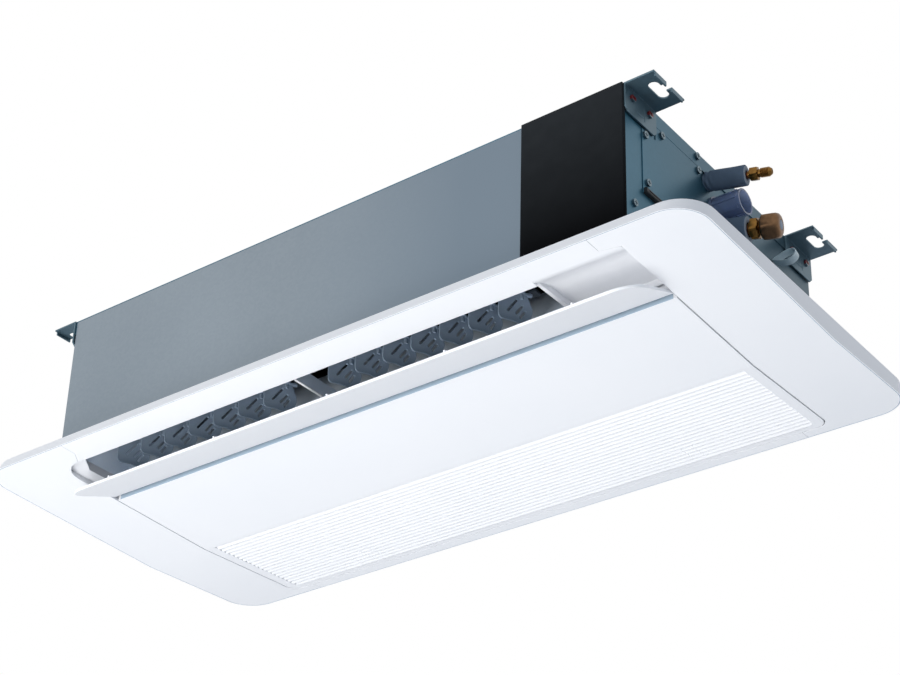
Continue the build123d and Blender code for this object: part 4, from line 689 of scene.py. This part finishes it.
# --- Flap ---
# One white moulding on two pins.  Its front edge is thin and rounded and catches the light, and
# the tips of five ribs stand a little above it.
flap_edge = 0.5 * mm
softened("flap", flap_edge, white_abs)
hinge_y, hinge_z, hang = -120.0, -12.5, radians(24.0)
rib_places, half_rib = (-328.0, -160.0, 8.0, 169.0, 330.0), 1.0
rib_corners = np.array([    # closed flap, mm in front of the hinge and above it
    [-80.4, -1.9], [-80.0, 1.2], [-77.0, 1.2], [-60.0, -1.9]])
rib_y = hinge_y + rib_corners[:, 0] * cos(hang) - rib_corners[:, 1] * sin(hang)
rib_z = hinge_z + rib_corners[:, 0] * sin(hang) + rib_corners[:, 1] * cos(hang)
for number, rib_x in enumerate(rib_places):
    rings = [np.stack([np.full(4, rib_x + side), rib_y, rib_z], axis=-1) * mm
             for side in (-half_rib, half_rib)]
    rib_tip = skin_over("flap_rib_tip_%d" % (number + 1), rings)
    finish_piece(rib_tip, white_abs, nodes["flap"]["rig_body"])

# --- Intake grille, latches and filters ---
# The grille is the same white ABS; its slats lean forwards, and two sliding latches sit among
# them.  A thin blue-grey strip on its front wall is painted shade for the slot between flap and
# grille.  Two pale filter frames lie behind.
paint(white_abs, "intake_grille", "latch_left", "latch_right")
# A blue-grey strip of painted shade lines the front wall, where the slot lies in shade.
shade_strip_section = rounded_rectangle(0.2 * mm, 3.6 * mm, 0.15 * mm, 0.0, 4)
shade_strip_ends, shade_strip_y, shade_strip_z = (-398 * mm, 398 * mm), -108.15 * mm, -15.6 * mm
grille_slot_shade_strip = straight_bar("intake_grille_front_shade_strip", shade_strip_section, 0, shade_strip_ends, shade_strip_y, shade_strip_z)
slot_shade_foam = foam("blue_grey_slot_painted_shade", "#a3b6c7", "#b1c3d2", 0.8 * mm)
finish_piece(grille_slot_shade_strip, slot_shade_foam, nodes["intake_grille"]["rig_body"])
filter_plastic = moulded("pale_polypropylene", "#e6e9ee", "#eff1f5", 0.5, 20 * mm, 0.5 * mm)
paint(filter_plastic, "air_filters")

# --- Studio ---
# A white studio: even light all round, a wide soft key from the left in front, a second one
# from below, and a pale floor that is clear when seen from underneath, as a low camera sees it.
floor_size, floor_z = 14, -1.7
bpy.ops.mesh.primitive_plane_add(size=floor_size, location=(0, 0, floor_z))
floor = bpy.context.object
floor.name = "studio_floor"
studio_paper, tree, place = start_material("studio_paper")
fibres = add_node(tree, "ShaderNodeTexNoise", {"Vector": place, "Scale": 1 / (3 * mm), "Detail": 2.0})
paper_tint = add_node(tree, "ShaderNodeMix", {
    0: fibres.outputs["Fac"], 6: linear("#f0f1f3"), 7: linear("#f6f7f8")}, data_type="RGBA")
floor_rays = add_node(tree, "ShaderNodeLightPath")
lift = add_node(tree, "ShaderNodeMath", {
    0: floor_rays.outputs["Is Camera Ray"], 1: 0.42}, operation="MULTIPLY")
shader = add_node(tree, "ShaderNodeBsdfPrincipled", {
    "Base Color": paper_tint.outputs[2], "Roughness": 0.9, "Emission Color": linear("#ffffff"),
    "Emission Strength": lift.outputs[0]})
underside = add_node(tree, "ShaderNodeNewGeometry")
clear = add_node(tree, "ShaderNodeBsdfTransparent")
one_sided = add_node(tree, "ShaderNodeMixShader", {
    "Fac": underside.outputs["Backfacing"], 1: shader.outputs["BSDF"], 2: clear.outputs["BSDF"]})
add_node(tree, "ShaderNodeOutputMaterial", {"Surface": one_sided.outputs["Shader"]})
floor.data.materials.append(studio_paper)

world = bpy.data.worlds.new("studio_world")
bpy.context.scene.world = world
world.use_nodes = True
sky = world.node_tree
sky.nodes.clear()
rays = add_node(sky, "ShaderNodeLightPath")
room = add_node(sky, "ShaderNodeBackground", {"Color": linear("#ebf2fc"), "Strength": 0.57})
paper = add_node(sky, "ShaderNodeBackground", {"Color": linear("#ffffff"), "Strength": 1.0})
clear_rays = add_node(sky, "ShaderNodeMath", {
    0: rays.outputs["Is Camera Ray"], 1: rays.outputs["Is Transmission Ray"]}, operation="MAXIMUM")
paper_rays = add_node(sky, "ShaderNodeMath", {
    0: clear_rays.outputs[0], 1: rays.outputs["Is Glossy Ray"]}, operation="MAXIMUM")
seen = add_node(sky, "ShaderNodeMixShader", {
    "Fac": paper_rays.outputs[0], 1: room.outputs["Background"], 2: paper.outputs["Background"]})
add_node(sky, "ShaderNodeOutputWorld", {"Surface": seen.outputs["Shader"]})


def softbox(name, place, aim, size, power):
    """A square studio lamp aimed at a point."""
    lamp = bpy.data.lights.new(name, "AREA")
    lamp.size = size
    lamp.energy = power
    lamp.color = linear("#fffdf9")[:3]
    holder = bpy.data.objects.new(name, lamp)
    bpy.context.scene.collection.objects.link(holder)
    aimed = (Vector(place) - Vector(aim)).to_track_quat("Z", "Y").to_matrix().to_4x4()
    holder.matrix_world = Matrix.Translation(place) @ aimed


softbox("key_softbox", (-0.65, -2.5, -1.5), (0, 0, 0), 1.6, 50)
softbox("low_softbox", (-0.2, -0.9, -1.6), (0, 0, 0), 1.2, 24)

# --- Camera ---
# A long lens below the panel, in front and to the right, looking up; the picture is 900 by 675.
camera_place = (1.2873, -1.6012, -1.1329)
camera_azimuth = 36.787
camera_elevation = 28.389
camera_roll = 1.04
focal_pixels = 2008.6
picture_width, picture_height = 900, 675
principal = (492.3, 450.2)
camera_data = bpy.data.cameras.new("camera")
camera_data.sensor_width = 36.0
camera_data.lens = focal_pixels / picture_width * camera_data.sensor_width
camera_data.shift_x = (picture_width / 2 - principal[0]) / picture_width
camera_data.shift_y = (principal[1] - picture_height / 2) / picture_width
camera = bpy.data.objects.new("camera", camera_data)
bpy.context.scene.collection.objects.link(camera)
camera.matrix_world = (Matrix.Translation(camera_place)
                       @ Matrix.Rotation(radians(camera_azimuth), 4, "Z")
                       @ Matrix.Rotation(radians(90 + camera_elevation), 4, "X")
                       @ Matrix.Rotation(radians(camera_roll), 4, "Z"))
bpy.context.scene.camera = camera
bpy.context.scene.view_settings.view_transform = "Standard"
